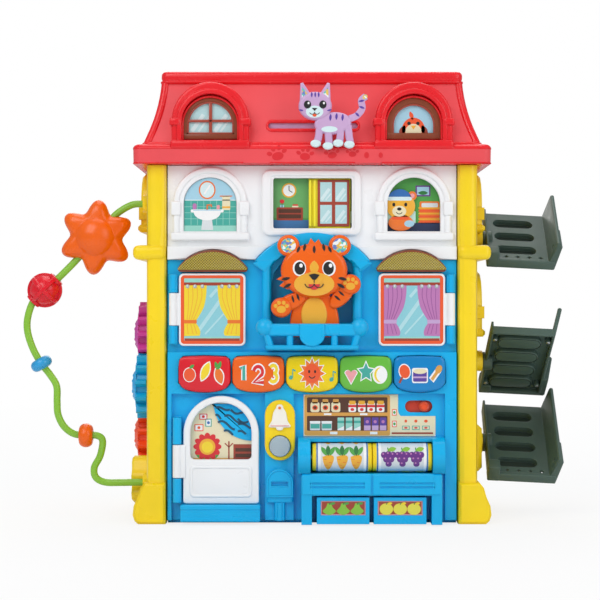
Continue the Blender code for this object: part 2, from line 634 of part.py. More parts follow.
def make_lower_panel():
    wall = box(-PANEL_HALF, PANEL_HALF, FRONT, FRONT + WALL, 3 + GAP, LOWER_TOP)
    joined = [prism([(-58, 250), (59, 250)] + hood_outline(), FRONT, FRONT + WALL)]
    cut = []
    # Niche behind the balcony, with its back wall set in
    rise = HOOD_PEAK - LOWER_TOP
    radius = (HOOD_HALF ** 2 + rise ** 2) / (2 * rise)
    side_turn = math.degrees(math.acos((NICHE_HALF + 3) / radius))
    dome = arc((0.5, HOOD_PEAK - radius), radius, side_turn, 180 - side_turn, 10)
    joined.append(prism([(-NICHE_HALF - 3, 184), (NICHE_HALF + 3, 184)] + dome, FRONT + 1, NICHE_BACK + WALL))
    niche = arched(0, NICHE_HALF, 187, 235)
    cut.append(prism([(u, v if v < 236 else 236 + (v - 235) * 0.9) for u, v in niche], FRONT - 1, NICHE_BACK))
    # Button band, pilasters, door block and step
    joined.append(box(-PANEL_HALF + 0.4, PANEL_HALF - 0.4, RELIEF_FRONT, FRONT + 1, 129.6, 171))
    for x0, x1 in ((-144, -140), (132.5, 144), (-47, -18.2)):
        joined.append(box(x0, x1, RELIEF_FRONT, FRONT + 1, 3.6, 130.5))
    joined.append(prism(arched(-90.5, 38.5, 19.5, 90), RELIEF_FRONT, FRONT + 1))
    joined.append(box(-130.6, -51.5, -113, FRONT + 1, 3.4, 19.8, 1.5))
    cut += [box(-131, -51, -114, -112, z, z + 1.0) for z in (7.0, 11.4, 15.8)]
    cut.append(prism(arched(-90.6, 31.5, 62.5, 89.5), RELIEF_FRONT - 1, FRONT + 5))
    # Window recesses and their knuckles
    for side in (-1, 1):
        low, high, z0, z1 = WINDOW
        cut.append(box(*sorted((side * (low + 6), side * (high - 6))), FRONT - 1, FRONT + 5, z0 + 6, z1 - 6))
        joined += knuckles(side * WINDOW_HINGE[0], WINDOW_HINGE[1], ((230.3, 248.4), (179.0, 197.2)))
        cut.append(rod("Z", (side * WINDOW_HINGE[0], WINDOW_HINGE[1]), PIN_RADIUS + 0.35, 181, 260, 10))
        cut.append(rod("Y", (side * 98.9, 258.5), 3.3, FRONT - 1, FRONT + 5, 12))
    joined += knuckles(*DOOR_HINGE, ((79.6, 106.3), (21.6, 45.8)))
    cut.append(rod("Z", DOOR_HINGE, PIN_RADIUS + 0.35, 24, 120, 10))
    # Five button openings
    for i in range(5):
        cut.append(prism(button_outline((i - 2) * BUTTON_PITCH, 0.6), RELIEF_FRONT - 2, FRONT + 6))
    # Doorbell opening, switch slot
    cut.append(rod("Y", (-32, 77.7), 8.6, -120, -80, SEGMENTS))
    cut.append(prism(rounded(93.0, 120.4, 110.7, 122.5, 5.8, 4), -100, -90))
    joined += balcony()
    post_parts, post_cut = mailbox()
    shop_parts, shop_cut = counter()
    node("front_lower_panel", blue(), wall, joined + post_parts + shop_parts, cut + post_cut + shop_cut)


def make_fixed_front_pieces():
    for side, name in ((-1, "light_lens_left"), (1, "light_lens_right")):
        node(name, material("amber_lens", "B5A636", 0.2),
             prism(lens_outline(side, -0.4), -106, FRONT - 5 + 4.4, "Y", 3.0, 2))
    for side, name in ((-1, "window_picture_left"), (1, "window_picture_right")):
        low, high, z0, z1 = WINDOW
        plate = box(*sorted((side * (low - 2), side * (high + 2))), -91.7, -90, z0, z1)
        pad = box(*sorted((side * (low + 6.5), side * (high - 6.5))), -94.6, -91, z0 + 6.5, z1 - 6.5)
        node(name, printed("printed_card", "BFE6DC"), plate, [pad])
    node("door_picture", printed("printed_card_cream", "EADFB4"),
         box(-126, -56, -91.7, -90, 58, 124),
         [prism(arched(-90.6, 31.1, 62.9, 89.5), -97.4, -91)],
         [prism(wave(z), -99, -80) for z in (78, 87, 96)])
    card = ([(-8.4, 86.9), (123.4, 86.9), (123.4, 107)] + arc((94, 113), 8, 228, 180, 4)
            + [(86, 128.6), (-8.4, 128.6)])
    node("shelf_card", printed("printed_card_brown", "5A3020"), prism(card, -96.2, FRONT - GAP))
    node("doorbell_plate", yellow(), prism(rounded(-47, -16.9, 63.4, 123.6, 15, 6), -105, -101.3, "Y", 1.2),
         [], [rod("Y", (-32, 77.7), 10.9, -110, -90, 20)])
    node("doorbell_lens", material("milky_lens", "F7F5E8", 0.25),
         prism(bell_outline(), -107.4, -105.3, "Y", 0.8))


def wave(z):
    # Curved sound slot in the door picture
    points = [(-84 + 2.6 * i, z + 3.0 * math.sin(i * 0.75)) for i in range(9)]
    return points + [(x, y + 3.2) for x, y in reversed(points)]


def bell_outline():
    half = [(0, 119.4), (2.6, 118.4), (3.2, 115.6), (6.2, 112), (7.4, 103), (10.6, 97), (10.8, 94.6),
            (3.4, 94.2), (2.4, 91.6), (0, 91)]
    right = [(-32.2 + u, v) for u, v in half]
    left = [(-64.4 - u, v) for u, v in reversed(right[1:-1])]
    return (right + left)[::-1]


# Moving pieces of the front

def make_windows():
    for side, name in ((-1, "window_left"), (1, "window_right")):
        low, high, z0, z1 = WINDOW
        x, y = side * WINDOW_HINGE[0], WINDOW_HINGE[1]
        inner, outer = sorted((side * low, side * high))
        leaf = prism(rounded(inner, outer, z0, z1, 5), -101.6, -96.6, "Y", 1.0)
        knuckle = rod("Z", (x, y), KNUCKLE_RADIUS, 197.6, 229.9, 14)
        web = box(*sorted((x - side * 2.5, side * (high - 1))), -101.2, -97, 197.6, 229.9)
        rebate = box(inner + 6, outer - 6, -103, -100.9, z0 + 6, z1 - 6)
        bars = [box(inner + 5, outer - 5, -101.5, -98, 212.2, 214.6)]
        node(name, white(), combined(leaf, (), [rebate]), [knuckle, web] + bars,
             [rod("Z", (x, y), PIN_RADIUS + 0.35, 190, 240, 10)], (x, y, 213))


def make_door():
    x0, x1, z0, z1 = DOOR
    x, y = DOOR_HINGE
    middle, half = (x0 + x1) / 2, (x1 - x0) / 2
    leaf = prism(arched(middle, half, z0, z1 - half), -107, -101.5, "Y", 2.0)
    knuckle = rod("Z", (x, y), KNUCKLE_RADIUS + 0.2, 46.3, 79.1, 14)
    web = box(x + 2.5, x0 + 2, -106.8, -102.2, 46.3, 79.1)
    panel = prism(rounded(-120.4, -60.3, 27.8, 57.3, 4), -108.2, -105, "Y", 1.2)
    node("door", white(), leaf, [knuckle, web, panel],
         [prism(arched(-90.6, 30.4, 64.4, 90.5), -120, -90),
          rod("Z", (x, y), PIN_RADIUS + 0.35, 30, 90, 10)], (x, y, 63))


def make_hinge_pins():
    for side, name in ((-1, "window_pin_left"), (1, "window_pin_right")):
        node(name, steel(), rod("Z", (side * WINDOW_HINGE[0], WINDOW_HINGE[1]), PIN_RADIUS, 181.3, 248.2, 10))
    node("door_pin", steel(), rod("Z", DOOR_HINGE, PIN_RADIUS, 24.3, 106, 10))


def make_buttons():
    colours = (("red", "E31E35"), ("orange", "F26A21"), ("yellow", "F6D713"), ("green", "6CBE45"),
               ("blue", "0C73C8"))
    for i, (name, colour) in enumerate(colours):
        x = (i - 2) * BUTTON_PITCH
        cap = prism(button_outline(x), BUTTON_FRONT, -90, "Y", 2.5)
        flange = box(x - 18, x + 18, -91.6, -89.6, BUTTON_Z - 21, BUTTON_Z + 21)
        hollow = prism(button_outline(x, -2.5), BUTTON_FRONT + 4.5, -80)
        post = rod("Y", (x, BUTTON_Z), 3.0, BUTTON_FRONT + 3, -92.2, 8)
        node("button_" + name, material(name + "_button_abs", colour), combined(cap, [flange], [hollow]),
             [post], pivot=(x, -90, BUTTON_Z))


def make_button_pad():
    # Silicone sheet with one rubber dome under each button
    domes = [turned("Y", ((i - 2) * BUTTON_PITCH, BUTTON_Z),
                    [(0, -88.6), (4, -88.6), (8, -81), (0, -81)], 8) for i in range(5)]
    node("button_pad", material("grey_silicone", "8C8F92", 0.6), box(-130, 130, -82, -80, 132, 167), domes)


def make_doorbell_button():
    disc = rod("Y", (-32, 77.7), 10.3, -109.6, -104.2, 18)
    ribs = [box(-44, -20, -112, -109.0, z, z + 1.1) for z in (70.5, 73.6, 76.7, 79.8, 82.9)]
    stem = rod("Y", (-32, 77.7), 8.1, -105, -92, SEGMENTS)
    node("doorbell_button", material("grey_abs", "A6B0B8"), disc, [stem], ribs, (-32, -100, 77.7))


def make_switch():
    knob = turned("Y", (111.9, 116.6), [(0, -99.4), (4.2, -99.4), (5.1, -98.4), (5.1, -91.2), (0, -91.2)], 18)
    slider = box(86, 124, -91.6, -90, 107.5, 125.5)
    node("switch_knob", material("switch_orange_abs", "F0562A"), knob, [slider], (), (111.9, -91, 116.6))


def make_rollers():
    y, z = ROLLER_CENTRE
    node("roller_axle", steel(), rod("X", (y, z), 2.4, -11.5, 128.9, 12))
    r = ROLLER_RADIUS
    for (x0, x1), name in zip(ROLLERS, ("roller_left", "roller_right")):
        profile = [(0, x0), (r - 0.6, x0), (r, x0 + 0.6), (r, x1 - 0.6), (r - 0.6, x1), (0, x1)]
        node(name, printed("printed_" + name, "F2F4F5"), turned("X", (y, z), profile, 22), (),
             [rod("X", (y, z), 2.9, x0 - 1, x1 + 1, 12)], ((x0 + x1) / 2, y, z))


# Figures

def make_tiger():
    # Cub behind the balcony rail: body between the columns, head and paws in front of them
    body = prism([(-19, 186), (24, 186), (26, 200), (22, 222), (12, 236), (-8, 236), (-18, 222), (-21, 200)],
                 -107, -97, "Y", 2)
    head = prism(ellipse((2, 252), 33, 27, 18), -116.5, -106.5, "Y", 3, 2)
    ears = [prism(ellipse((2 + s * 26, 277.5), 10.5, 10, 12), -114.5, -106.5, "Y", 2) for s in (-1, 1)]
    arms = [prism(ellipse((-21, 221), 15, 7.5, 12, 25), -111, -105, "Y", 1.5),
            prism(ellipse((30, 228), 16, 8, 12, 48), -111, -105, "Y", 1.5)]
    paws = [prism(ellipse((-30, 215.5), 10, 9.5, 12), -113, -105.5, "Y", 2),
            prism(ellipse((38, 238), 10, 10, 12), -113, -105.5, "Y", 2)]
    belly = prism(ellipse((2, 208), 12.5, 17, 14), -108.5, -104, "Y", 1)
    bearing = rod("Y", (0.5, 194.5), 4.5, -98, NICHE_BACK - GAP, 12)
    node("tiger_cub", material("tiger_orange_abs", "F26A28"), body,
         [head] + ears + arms + paws + [belly, bearing], (), (0.5, -96, 194.5))


def make_cat():
    # Lilac cat on the roof, with the stem through the slot and the slide strip behind it
    y0, y1 = -120, -113.4
    body = prism(ellipse((20, 397), 18, 10.5, 18, 8), y0, y1, "Y", 2)
    head = prism(ellipse((3, 414), 16, 13.5, 18), y0 - 1.5, y1, "Y", 2.5)
    ears = [prism([(3 + s * 4, 421), (3 + s * 15, 416), (3 + s * 13, 433)][::s], y0, y1, "Y", 1)
            for s in (-1, 1)]
    legs = [prism(rounded(x - 3.6, x + 3.6, 374, 396, 3), y0, y1, "Y", 1.2) for x in (8, 16.5, 28, 35.5)]
    tail_line = arc((40, 413), 11.5, 250, 430, 6)
    tail = prism(tail_line + [(40 + (x - 40) * 0.5, 413 + (z - 413) * 0.52) for x, z in reversed(tail_line)],
                 y0 + 1, y1, "Y", 1)
    stem = box(13, 25, -115, -85, 395.2, 399.7)
    strip = box(-68, 106, -85.6, -83.8, 390, 405)
    node("cat_slider", material("lilac_abs", "C9A9D6"), body, [head] + ears + legs + [tail, stem, strip])


# Left side: gears, bead wire and beads

def gear_outline(centre, phase):
    # Involute teeth at 25 degrees, thinned for backlash
    pressure = math.radians(25)
    pitch = GEAR_MODULE * GEAR_TEETH / 2
    base = pitch * math.cos(pressure)
    tip = pitch + 0.78 * GEAR_MODULE
    root = pitch - 1.1 * GEAR_MODULE
    thickness = math.pi * GEAR_MODULE / 2 - 0.7
    half_at_pitch = thickness / (2 * pitch)
    involute = math.tan(pressure) - pressure

    def half_angle(radius):
        if radius <= base:
            return half_at_pitch + involute
        slant = math.acos(base / radius)
        return half_at_pitch + involute - (math.tan(slant) - slant)

    radii = [root, base, pitch, tip]
    points = []
    for tooth in range(GEAR_TEETH):
        middle = phase + math.tau * tooth / GEAR_TEETH
        for r in radii:
            points.append((centre[0] + r * math.cos(middle - half_angle(r)),
                           centre[1] + r * math.sin(middle - half_angle(r))))
        for r in reversed(radii):
            points.append((centre[0] + r * math.cos(middle + half_angle(r)),
                           centre[1] + r * math.sin(middle + half_angle(r))))
    return points


def gear_phases():
    # Each gear is turned so that its teeth meet the last gear's gaps
    step = math.tau / GEAR_TEETH
    phases = [0.0]
    for first, second in zip(GEAR_CENTRES, GEAR_CENTRES[1:]):
        line = math.atan2(second[1] - first[1], second[0] - first[0])
        phases.append(2 * line + math.pi - phases[-1] - step / 2)
    return phases


def make_gears():
    colours = (("gear_top", "A6349A"), ("gear_middle", "1C86C8"), ("gear_bottom", "E8432A"))
    for (name, colour), centre, phase in zip(colours, GEAR_CENTRES, gear_phases()):
        disc = prism(gear_outline(centre, phase), GEAR_X - 11.5, GEAR_X, "X")
        dome = turned("X", centre, [(0, -187), (14, -185.6), (20, -181), (20, -178), (0, -178)], 16)
        bore = rod("X", centre, 3.4, -183.5, -160, 16)
        node(name, material(name + "_abs", colour), disc, [dome], [bore], (GEAR_X, *centre))


def smooth_route(points, per_span):
    # Catmull-Rom curve through the points
    route = [points[0]] + list(points) + [points[-1]]
    curve = []
    for a, b, c, d in zip(route, route[1:], route[2:], route[3:]):
        for step in range(per_span):
            t = step / per_span
            curve.append(tuple(0.5 * (2 * q + (r - p) * t + (2 * p - 5 * q + 4 * r - s) * t * t
                                      + (3 * q - p - 3 * r + s) * t ** 3) for p, q, r, s in zip(a, b, c, d)))
    return curve + [points[-1]]


def make_wire():
    line = bpy.data.curves.new("bead_wire", "CURVE")
    line.dimensions = "3D"
    line.bevel_depth = WIRE_RADIUS * MM
    line.bevel_resolution = 2
    line.use_fill_caps = True
    route = smooth_route(WIRE_ROUTE, 1)
    spline = line.splines.new("POLY")
    spline.points.add(len(route) - 1)
    for point, (x, z) in zip(spline.points, route):
        point.co = (x * MM, WIRE_Y * MM, z * MM, 1.0)
    wire = bpy.data.objects.new("bead_wire", line)
    bpy.context.scene.collection.objects.link(wire)
    line.materials.append(material("green_coated_wire", "8CC63F"))


def along_wire(mesh, centre, towards):
    # Mesh made about the Z axis at the origin, laid along the wire
    way = Vector((towards[0] - centre[0], 0, towards[1] - centre[1])).normalized()
    turn = Vector((0, 0, 1)).rotation_difference(way).to_matrix().to_4x4()
    mesh.transform(Matrix.Translation(Vector((centre[0], WIRE_Y, centre[1])) * MM) @ turn)
    return mesh


def make_beads():
    # Star: a puffed six-pointed slab threaded slantwise through its middle
    centre, towards = BEADS["bead_star"]
    slab = []
    for depth, size in ((-14, 0.66), (-10, 0.86), (-4, 0.98), (4, 0.98), (10, 0.86), (14, 0.66)):
        ring = []
        for i in range(30):
            a = math.tau * i / 30
            lobe = 0.5 + 0.5 * math.cos(6 * (a - math.radians(88)))
            r = (26.0 + 12.5 * lobe ** 1.5) * size
            ring.append((centre[0] + r * math.cos(a), WIRE_Y + depth, centre[1] + r * math.sin(a)))
        slab.append(ring)
    dome = ball((centre[0], WIRE_Y, centre[1]), 22.5, 14, 8, (1, 0.92, 1))
    bore = along_wire(rod("Z", (0, 0), 5.2, -60, 60, 10), centre, towards)
    node("bead_star", orange(), loft(slab), [dome], [bore], (centre[0], WIRE_Y, centre[1]))

    centre, towards = BEADS["bead_ball"]
    sphere = ball((0, 0, 0), 17.7, 14, 8)
    node("bead_ball", material("red_bead_abs", "DA1F34"), along_wire(sphere, centre, towards), (),
         [along_wire(rod("Z", (0, 0), 5.2, -30, 30, 10), centre, towards)], (centre[0], WIRE_Y, centre[1]))

    for name, finish, radius, half in (("bead_disc", material("blue_bead_abs", "2E9FDB"), 11.2, 5.8),
                                       ("bead_oval", material("orange_bead_abs", "F1592A"), 12.2, 7.1)):
        centre, towards = BEADS[name]
        profile = [(5.9, -half), (radius - 4, -half), (radius - 1, -half * 0.7), (radius, 0),
                   (radius - 1, half * 0.7), (radius - 4, half), (5.9, half), (5.9, -half)]
        node(name, finish, along_wire(turned("Z", (0, 0), profile, SEGMENTS), centre, towards),
             pivot=(centre[0], WIRE_Y, centre[1]))


# Right side: ramps

def ramp_tray(slots):
    # Tray about its own middle, low end at -Y: floor with pockets, skirt, outer wall and front rim
    length = slots * RAMP_PITCH + 14
    half = length / 2
    skirt = combined(box(0, RAMP_WIDTH + 3, -half, half, -9, 0), (),
                     [box(2.5, RAMP_WIDTH + 0.5, -half + 2.5, half - 2.5, -10, -2.5)])
    starts = [half - 7 - RAMP_PITCH * (i + 1) + 3 for i in range(slots)]
    pans = [prism(rounded(8, 54, y, y + 19, 7, 1), -8, -1, "Z") for y in starts]
    pockets = [prism(rounded(10, 52, y + 2, y + 17, 5, 1), -6, 3, "Z") for y in starts]
    wall = prism([(RAMP_WIDTH, -9), (RAMP_WIDTH + 3, -9), (RAMP_WIDTH + 11, RAMP_WALL_HEIGHT - 1.5),
                  (RAMP_WIDTH + 9.5, RAMP_WALL_HEIGHT), (RAMP_WIDTH + 7.5, RAMP_WALL_HEIGHT),
                  (RAMP_WIDTH + 1, 0)], -half, half)
    thick = prism([(RAMP_WIDTH, -9), (RAMP_WIDTH + 8, -9), (RAMP_WIDTH + 13.5, 20), (RAMP_WIDTH + 12, 21.5),
                   (RAMP_WIDTH + 7, 21.5), (RAMP_WIDTH + 1, 0)], -half, -half + 30)
    inner = box(0, 2.3, -half + 0.2, half - 0.2, -1, 6)
    block = box(-0.3, 12, -half - 1.8, -half + 12, -9.3, 9, 1.0)
    rim = box(0.2, RAMP_WIDTH + 7.8, -half - 1.5, -half + 3, -9.2, 0.6)
    row = -half + 6.5
    teeth = [prism([(u - 2.6, row), (u, row - 2), (u + 2.6, row), (u, row + 2)], -1.5, 2, "Z")
             for u in (20, 32, 44, 56)]
    dimple = rod("X", (-half + 9, 13), 2.4, RAMP_WIDTH - 2, RAMP_WIDTH + 7.5, 10)
    slope_cut = prism([(-half - 5, 23.6), (half + 5, 27.4), (half + 5, 40), (-half - 5, 40)],
                      RAMP_WIDTH - 5, RAMP_WIDTH + 20, "X")
    return combined(skirt, pans + [wall, thick, inner, block, rim], pockets + teeth + [dimple, slope_cut])


def make_ramps():
    for name, z, lean, slots in RAMPS:
        tray = ramp_tray(slots)
        if lean < 0:
            tray.transform(Matrix.Diagonal((1, -1, 1, 1)))
            tray.flip_normals()
        turn = Matrix.Rotation(RAMP_DROOP, 4, "Y") @ Matrix.Rotation(lean * RAMP_SLOPE, 4, "X")
        tray.transform(Matrix.Translation(Vector((RAMP_INNER, 0, z)) * MM) @ turn)
        boss_z = z - RAMP_BOSS_DROP
        boss = rod("X", (0, boss_z), 9.5, RAMP_FACE, RAMP_INNER + 3, SEGMENTS)
        plug = rod("X", (0, boss_z), 5.5, 158, RAMP_FACE + 1, 12)
        node(name, grey_green(), tray, [boss, plug])


# Inside and back

def make_inside():
    x0, x1, z0, z1 = BATTERY
    node("battery_box", blue(), box(x0, x1, 66, 91, z0, z1), (),
         [box(x0 + 2, x1 - 2, 68, 95, z0 + 2, z1 - 2)])
    middle = (z0 + z1) / 2
    cells = [combined(rod("X", (77.5, middle + i * 14.2), 7.15, -25, 24, 16),
                      [rod("X", (77.5, middle + i * 14.2), 2.7, 23.5, 25.4, 10)]) for i in (-1, 0, 1)]
    node("battery_cells", material("cell_wrap", "3A3D40", 0.35, 0.2), cells[0], cells[1:])
    ribs = [box(-34, 34, 94, 96.4, z, z + 1.6) for z in (48, 54, 60)]
    node("battery_door", blue(), box(-45.6, 45.6, 91.4, 95, 29.4, 86.6), ribs,
         [rod("Y", (0, 79), 4.4, 93.4, 99, 12)])
    node("speaker", material("speaker_black", "26282A", 0.6),
         turned("Y", (-79, 92), [(0, -84), (6, -85.5), (19, -89.4), (25, -89.4), (25, -87), (14, -78),
                                 (14, -70), (0, -70)], 16))
    node("circuit_board", material("circuit_green", "1E6B3A", 0.5), box(-120, 120, -79.7, -78.1, 126, 172))
    bulb = [(0, -95.2), (1.8, -94.6), (2.5, -93), (2.5, -76), (0, -76)]
    lamps = [turned("Y", (side * 98.9, 258.5), bulb, 10) for side in (-1, 1)]
    node("lamp_board", material("lamp_epoxy", "F4F1E0", 0.2), box(-106, 106, -77, -75.5, 253, 264), lamps)


def main():
    remove_all()
    make_base_plate()
    make_side_panel(-1, "left_side_panel")
    make_side_panel(1, "right_side_panel")
    make_back_panel()
    make_roof()
    make_dormer_windows()
    make_upper_panel()
    make_upper_pictures()
    make_sliding_window()
    make_lower_panel()
    make_fixed_front_pieces()
    make_windows()
    make_door()
    make_hinge_pins()
    make_buttons()
    make_button_pad()
    make_doorbell_button()
    make_switch()
    make_rollers()
    make_tiger()
    make_cat()
    make_gears()
    make_wire()
    make_beads()
    make_ramps()
    make_inside()


main()
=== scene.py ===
import math

import bmesh
import bpy
from mathutils import Matrix, Vector


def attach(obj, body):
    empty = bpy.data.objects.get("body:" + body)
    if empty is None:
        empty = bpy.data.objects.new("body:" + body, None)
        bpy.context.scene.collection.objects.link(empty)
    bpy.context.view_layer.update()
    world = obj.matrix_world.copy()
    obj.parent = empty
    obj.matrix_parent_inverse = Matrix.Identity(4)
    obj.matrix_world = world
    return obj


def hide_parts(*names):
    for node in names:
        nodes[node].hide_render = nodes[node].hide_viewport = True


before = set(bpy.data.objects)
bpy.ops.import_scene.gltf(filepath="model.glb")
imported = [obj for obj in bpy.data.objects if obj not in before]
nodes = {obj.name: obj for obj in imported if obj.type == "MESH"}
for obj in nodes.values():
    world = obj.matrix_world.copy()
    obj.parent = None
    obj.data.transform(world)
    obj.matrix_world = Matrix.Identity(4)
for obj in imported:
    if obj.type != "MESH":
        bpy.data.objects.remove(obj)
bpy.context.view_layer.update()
mm = 0.001
print("frame loaded,", len(nodes), "nodes")


# Camera, light and floor

view = {"place": (-12.0, -1845.0, 223.0), "lens": 105.0, "sensor": 36.0}
light = {
    "world": 0.42,
    "lamps": (("keyLamp", (-900, -1500, 1500), 1300, 17.0), ("fillLamp", (1300, -1300, 900), 1200, 9.0),
              ("topLamp", (0, 200, 1700), 1100, 8.0), ("backLamp", (0, 1600, 1200), 1400, 12.0)),
}


def addNode(tree, kind, settings=None, links=None):
    made = tree.nodes.new(kind)
    for key, value in (settings or {}).items():
        if key == "stops":
            while len(made.color_ramp.elements) < len(value):
                made.color_ramp.elements.new(0.5)
            for element, (place, colour) in zip(made.color_ramp.elements, value):
                element.position = place
                element.color = colour
        elif key == "steps":
            made.color_ramp.interpolation = value
        elif isinstance(key, int) or key in made.inputs:
            made.inputs[key].default_value = value
        else:
            setattr(made, key, value)
    for key, source in (links or {}).items():
        tree.links.new(source, made.inputs[key])
    return made


def linearColour(hexColour, level=1.0):
    parts = [int(hexColour[i:i + 2], 16) / 255 for i in (0, 2, 4)]
    parts = [c / 12.92 if c <= 0.04045 else ((c + 0.055) / 1.055) ** 2.4 for c in parts]
    return tuple(min(1.0, c * level) for c in parts) + (1.0,)


def makeCamera():
    data = bpy.data.cameras.new("photoCamera")
    data.lens = view["lens"]
    data.sensor_width = view["sensor"]
    camera = bpy.data.objects.new("photoCamera", data)
    bpy.context.scene.collection.objects.link(camera)
    camera.location = Vector(view["place"]) * mm
    camera.rotation_euler = (math.radians(90), 0, 0)
    bpy.context.scene.camera = camera


def makeLights():
    for name, place, size, power in light["lamps"]:
        data = bpy.data.lights.new(name, "AREA")
        data.size = size * mm
        data.energy = power
        lamp = bpy.data.objects.new(name, data)
        bpy.context.scene.collection.objects.link(lamp)
        lamp.location = Vector(place) * mm
        lamp.rotation_euler = (Vector((0, 0, 200)) * mm - lamp.location).to_track_quat("-Z", "Y").to_euler()
    world = bpy.data.worlds.new("studio")
    bpy.context.scene.world = world
    world.use_nodes = True
    tree = world.node_tree
    tree.nodes.clear()
    path = addNode(tree, "ShaderNodeLightPath")
    seen = addNode(tree, "ShaderNodeMath", {"operation": "MAXIMUM"},
                   {0: path.outputs["Is Camera Ray"], 1: path.outputs["Is Transmission Ray"]})
    soft = addNode(tree, "ShaderNodeBackground", {"Color": (1, 1, 1, 1), "Strength": light["world"]})
    white = addNode(tree, "ShaderNodeBackground", {"Color": (1, 1, 1, 1), "Strength": 1.0})
    mixed = addNode(tree, "ShaderNodeMixShader", {}, {0: seen.outputs[0], 1: soft.outputs[0],
                                                      2: white.outputs[0]})
    addNode(tree, "ShaderNodeOutputWorld", {}, {"Surface": mixed.outputs[0]})


def makeFloor():
    # Pale painted sweep; the camera sees it nearly white, and it keeps a soft shadow
    shape = bmesh.new()
    bmesh.ops.create_grid(shape, x_segments=1, y_segments=1, size=9.0)
    mesh = bpy.data.meshes.new("floorSweep")
    shape.to_mesh(mesh)
    shape.free()
    floor = bpy.data.objects.new("floorSweep", mesh)
    bpy.context.scene.collection.objects.link(floor)
    paint = bpy.data.materials.new("mattSweepPaint")
    paint.use_nodes = True
    tree = paint.node_tree
    shader = tree.nodes["Principled BSDF"]
    shader.inputs["Base Color"].default_value = (0.86, 0.87, 0.88, 1)
    shader.inputs["Roughness"].default_value = 0.9
    path = addNode(tree, "ShaderNodeLightPath")
    glow = addNode(tree, "ShaderNodeEmission", {"Color": (1, 1, 1, 1), "Strength": 1.0})
    place = addNode(tree, "ShaderNodeTexCoord").outputs["Object"]
    away = addNode(tree, "ShaderNodeVectorMath", {"operation": "LENGTH"}, {0: place})
    paler = addNode(tree, "ShaderNodeMapRange", {"From Min": 0.35, "From Max": 2.0, "To Min": 0.8,
                                                 "To Max": 1.0},
                    {"Value": away.outputs["Value"]})
    share = addNode(tree, "ShaderNodeMath", {"operation": "MULTIPLY"},
                    {0: path.outputs["Is Camera Ray"], 1: paler.outputs["Result"]})
    mixed = addNode(tree, "ShaderNodeMixShader", {}, {0: share.outputs[0], 1: shader.outputs[0],
                                                      2: glow.outputs[0]})
    tree.links.new(mixed.outputs[0], tree.nodes["Material Output"].inputs["Surface"])
    mesh.materials.append(paint)


makeCamera()
makeLights()
makeFloor()
bpy.context.scene.view_settings.view_transform = "Standard"
print("camera, light and floor done")


# Finishes

def startFinish(name, ior, metallic=0.0):
    made = bpy.data.materials.new(name)
    made.use_nodes = True
    shader = made.node_tree.nodes["Principled BSDF"]
    shader.inputs["IOR"].default_value = ior
    shader.inputs["Metallic"].default_value = metallic
    place = addNode(made.node_tree, "ShaderNodeTexCoord").outputs["Object"]
    return made, made.node_tree, shader, place


def mouldedAbs(name, hexColour, rough=(0.26, 0.38), grain=2.4, depth=0.05, deep=0.93, corner=0.9):
    # Injection-moulded ABS: flow marks 60 mm long, a faint orange peel, polish that varies with handling, and
    # edges that catch the light as the mould's small radius makes them
    made, tree, shader, place = startFinish(name, 1.45)
    flow = addNode(tree, "ShaderNodeTexNoise", {"Scale": 1000 / 60, "Detail": 2.0}, {"Vector": place})
    tint = addNode(tree, "ShaderNodeValToRGB",
                   {"stops": ((0.35, linearColour(hexColour, deep)), (0.65, linearColour(hexColour)))},
                   {"Fac": flow.outputs["Fac"]})
    tree.links.new(tint.outputs["Color"], shader.inputs["Base Color"])
    handled = addNode(tree, "ShaderNodeTexNoise", {"Scale": 1000 / 25, "Detail": 3.0}, {"Vector": place})
    polish = addNode(tree, "ShaderNodeMapRange", {"From Min": 0.3, "From Max": 0.7, "To Min": rough[0],
                                                  "To Max": rough[1]},
                     {"Value": handled.outputs["Fac"]})
    tree.links.new(polish.outputs["Result"], shader.inputs["Roughness"])
    peel = addNode(tree, "ShaderNodeTexNoise", {"Scale": 1000 / grain, "Detail": 1.0}, {"Vector": place})
    eased = addNode(tree, "ShaderNodeBevel", {"samples": 6, "Radius": corner * mm})
    bump = addNode(tree, "ShaderNodeBump", {"Strength": depth, "Distance": 0.0004},
                   {"Height": peel.outputs["Fac"], "Normal": eased.outputs["Normal"]})
    tree.links.new(bump.outputs["Normal"], shader.inputs["Normal"])
    return made


def sparkedAbs(name, hexColour):
    # ABS from a spark-eroded mould: a matt, slightly paler skin, its 0.3 mm grain drawn at 0.9 mm to show
    return mouldedAbs(name, hexColour, (0.42, 0.52), 0.9, 0.22)


def zincSteel(name):
    made, tree, shader, place = startFinish(name, 1.5, 1.0)
    shader.inputs["Base Color"].default_value = linearColour("B8BCC0")
    brushed = addNode(tree, "ShaderNodeTexNoise", {"Scale": 900.0, "Detail": 2.0}, {"Vector": place})
    polish = addNode(tree, "ShaderNodeMapRange", {"To Min": 0.22, "To Max": 0.42},
                     {"Value": brushed.outputs["Fac"]})
    tree.links.new(polish.outputs["Result"], shader.inputs["Roughness"])
    return made


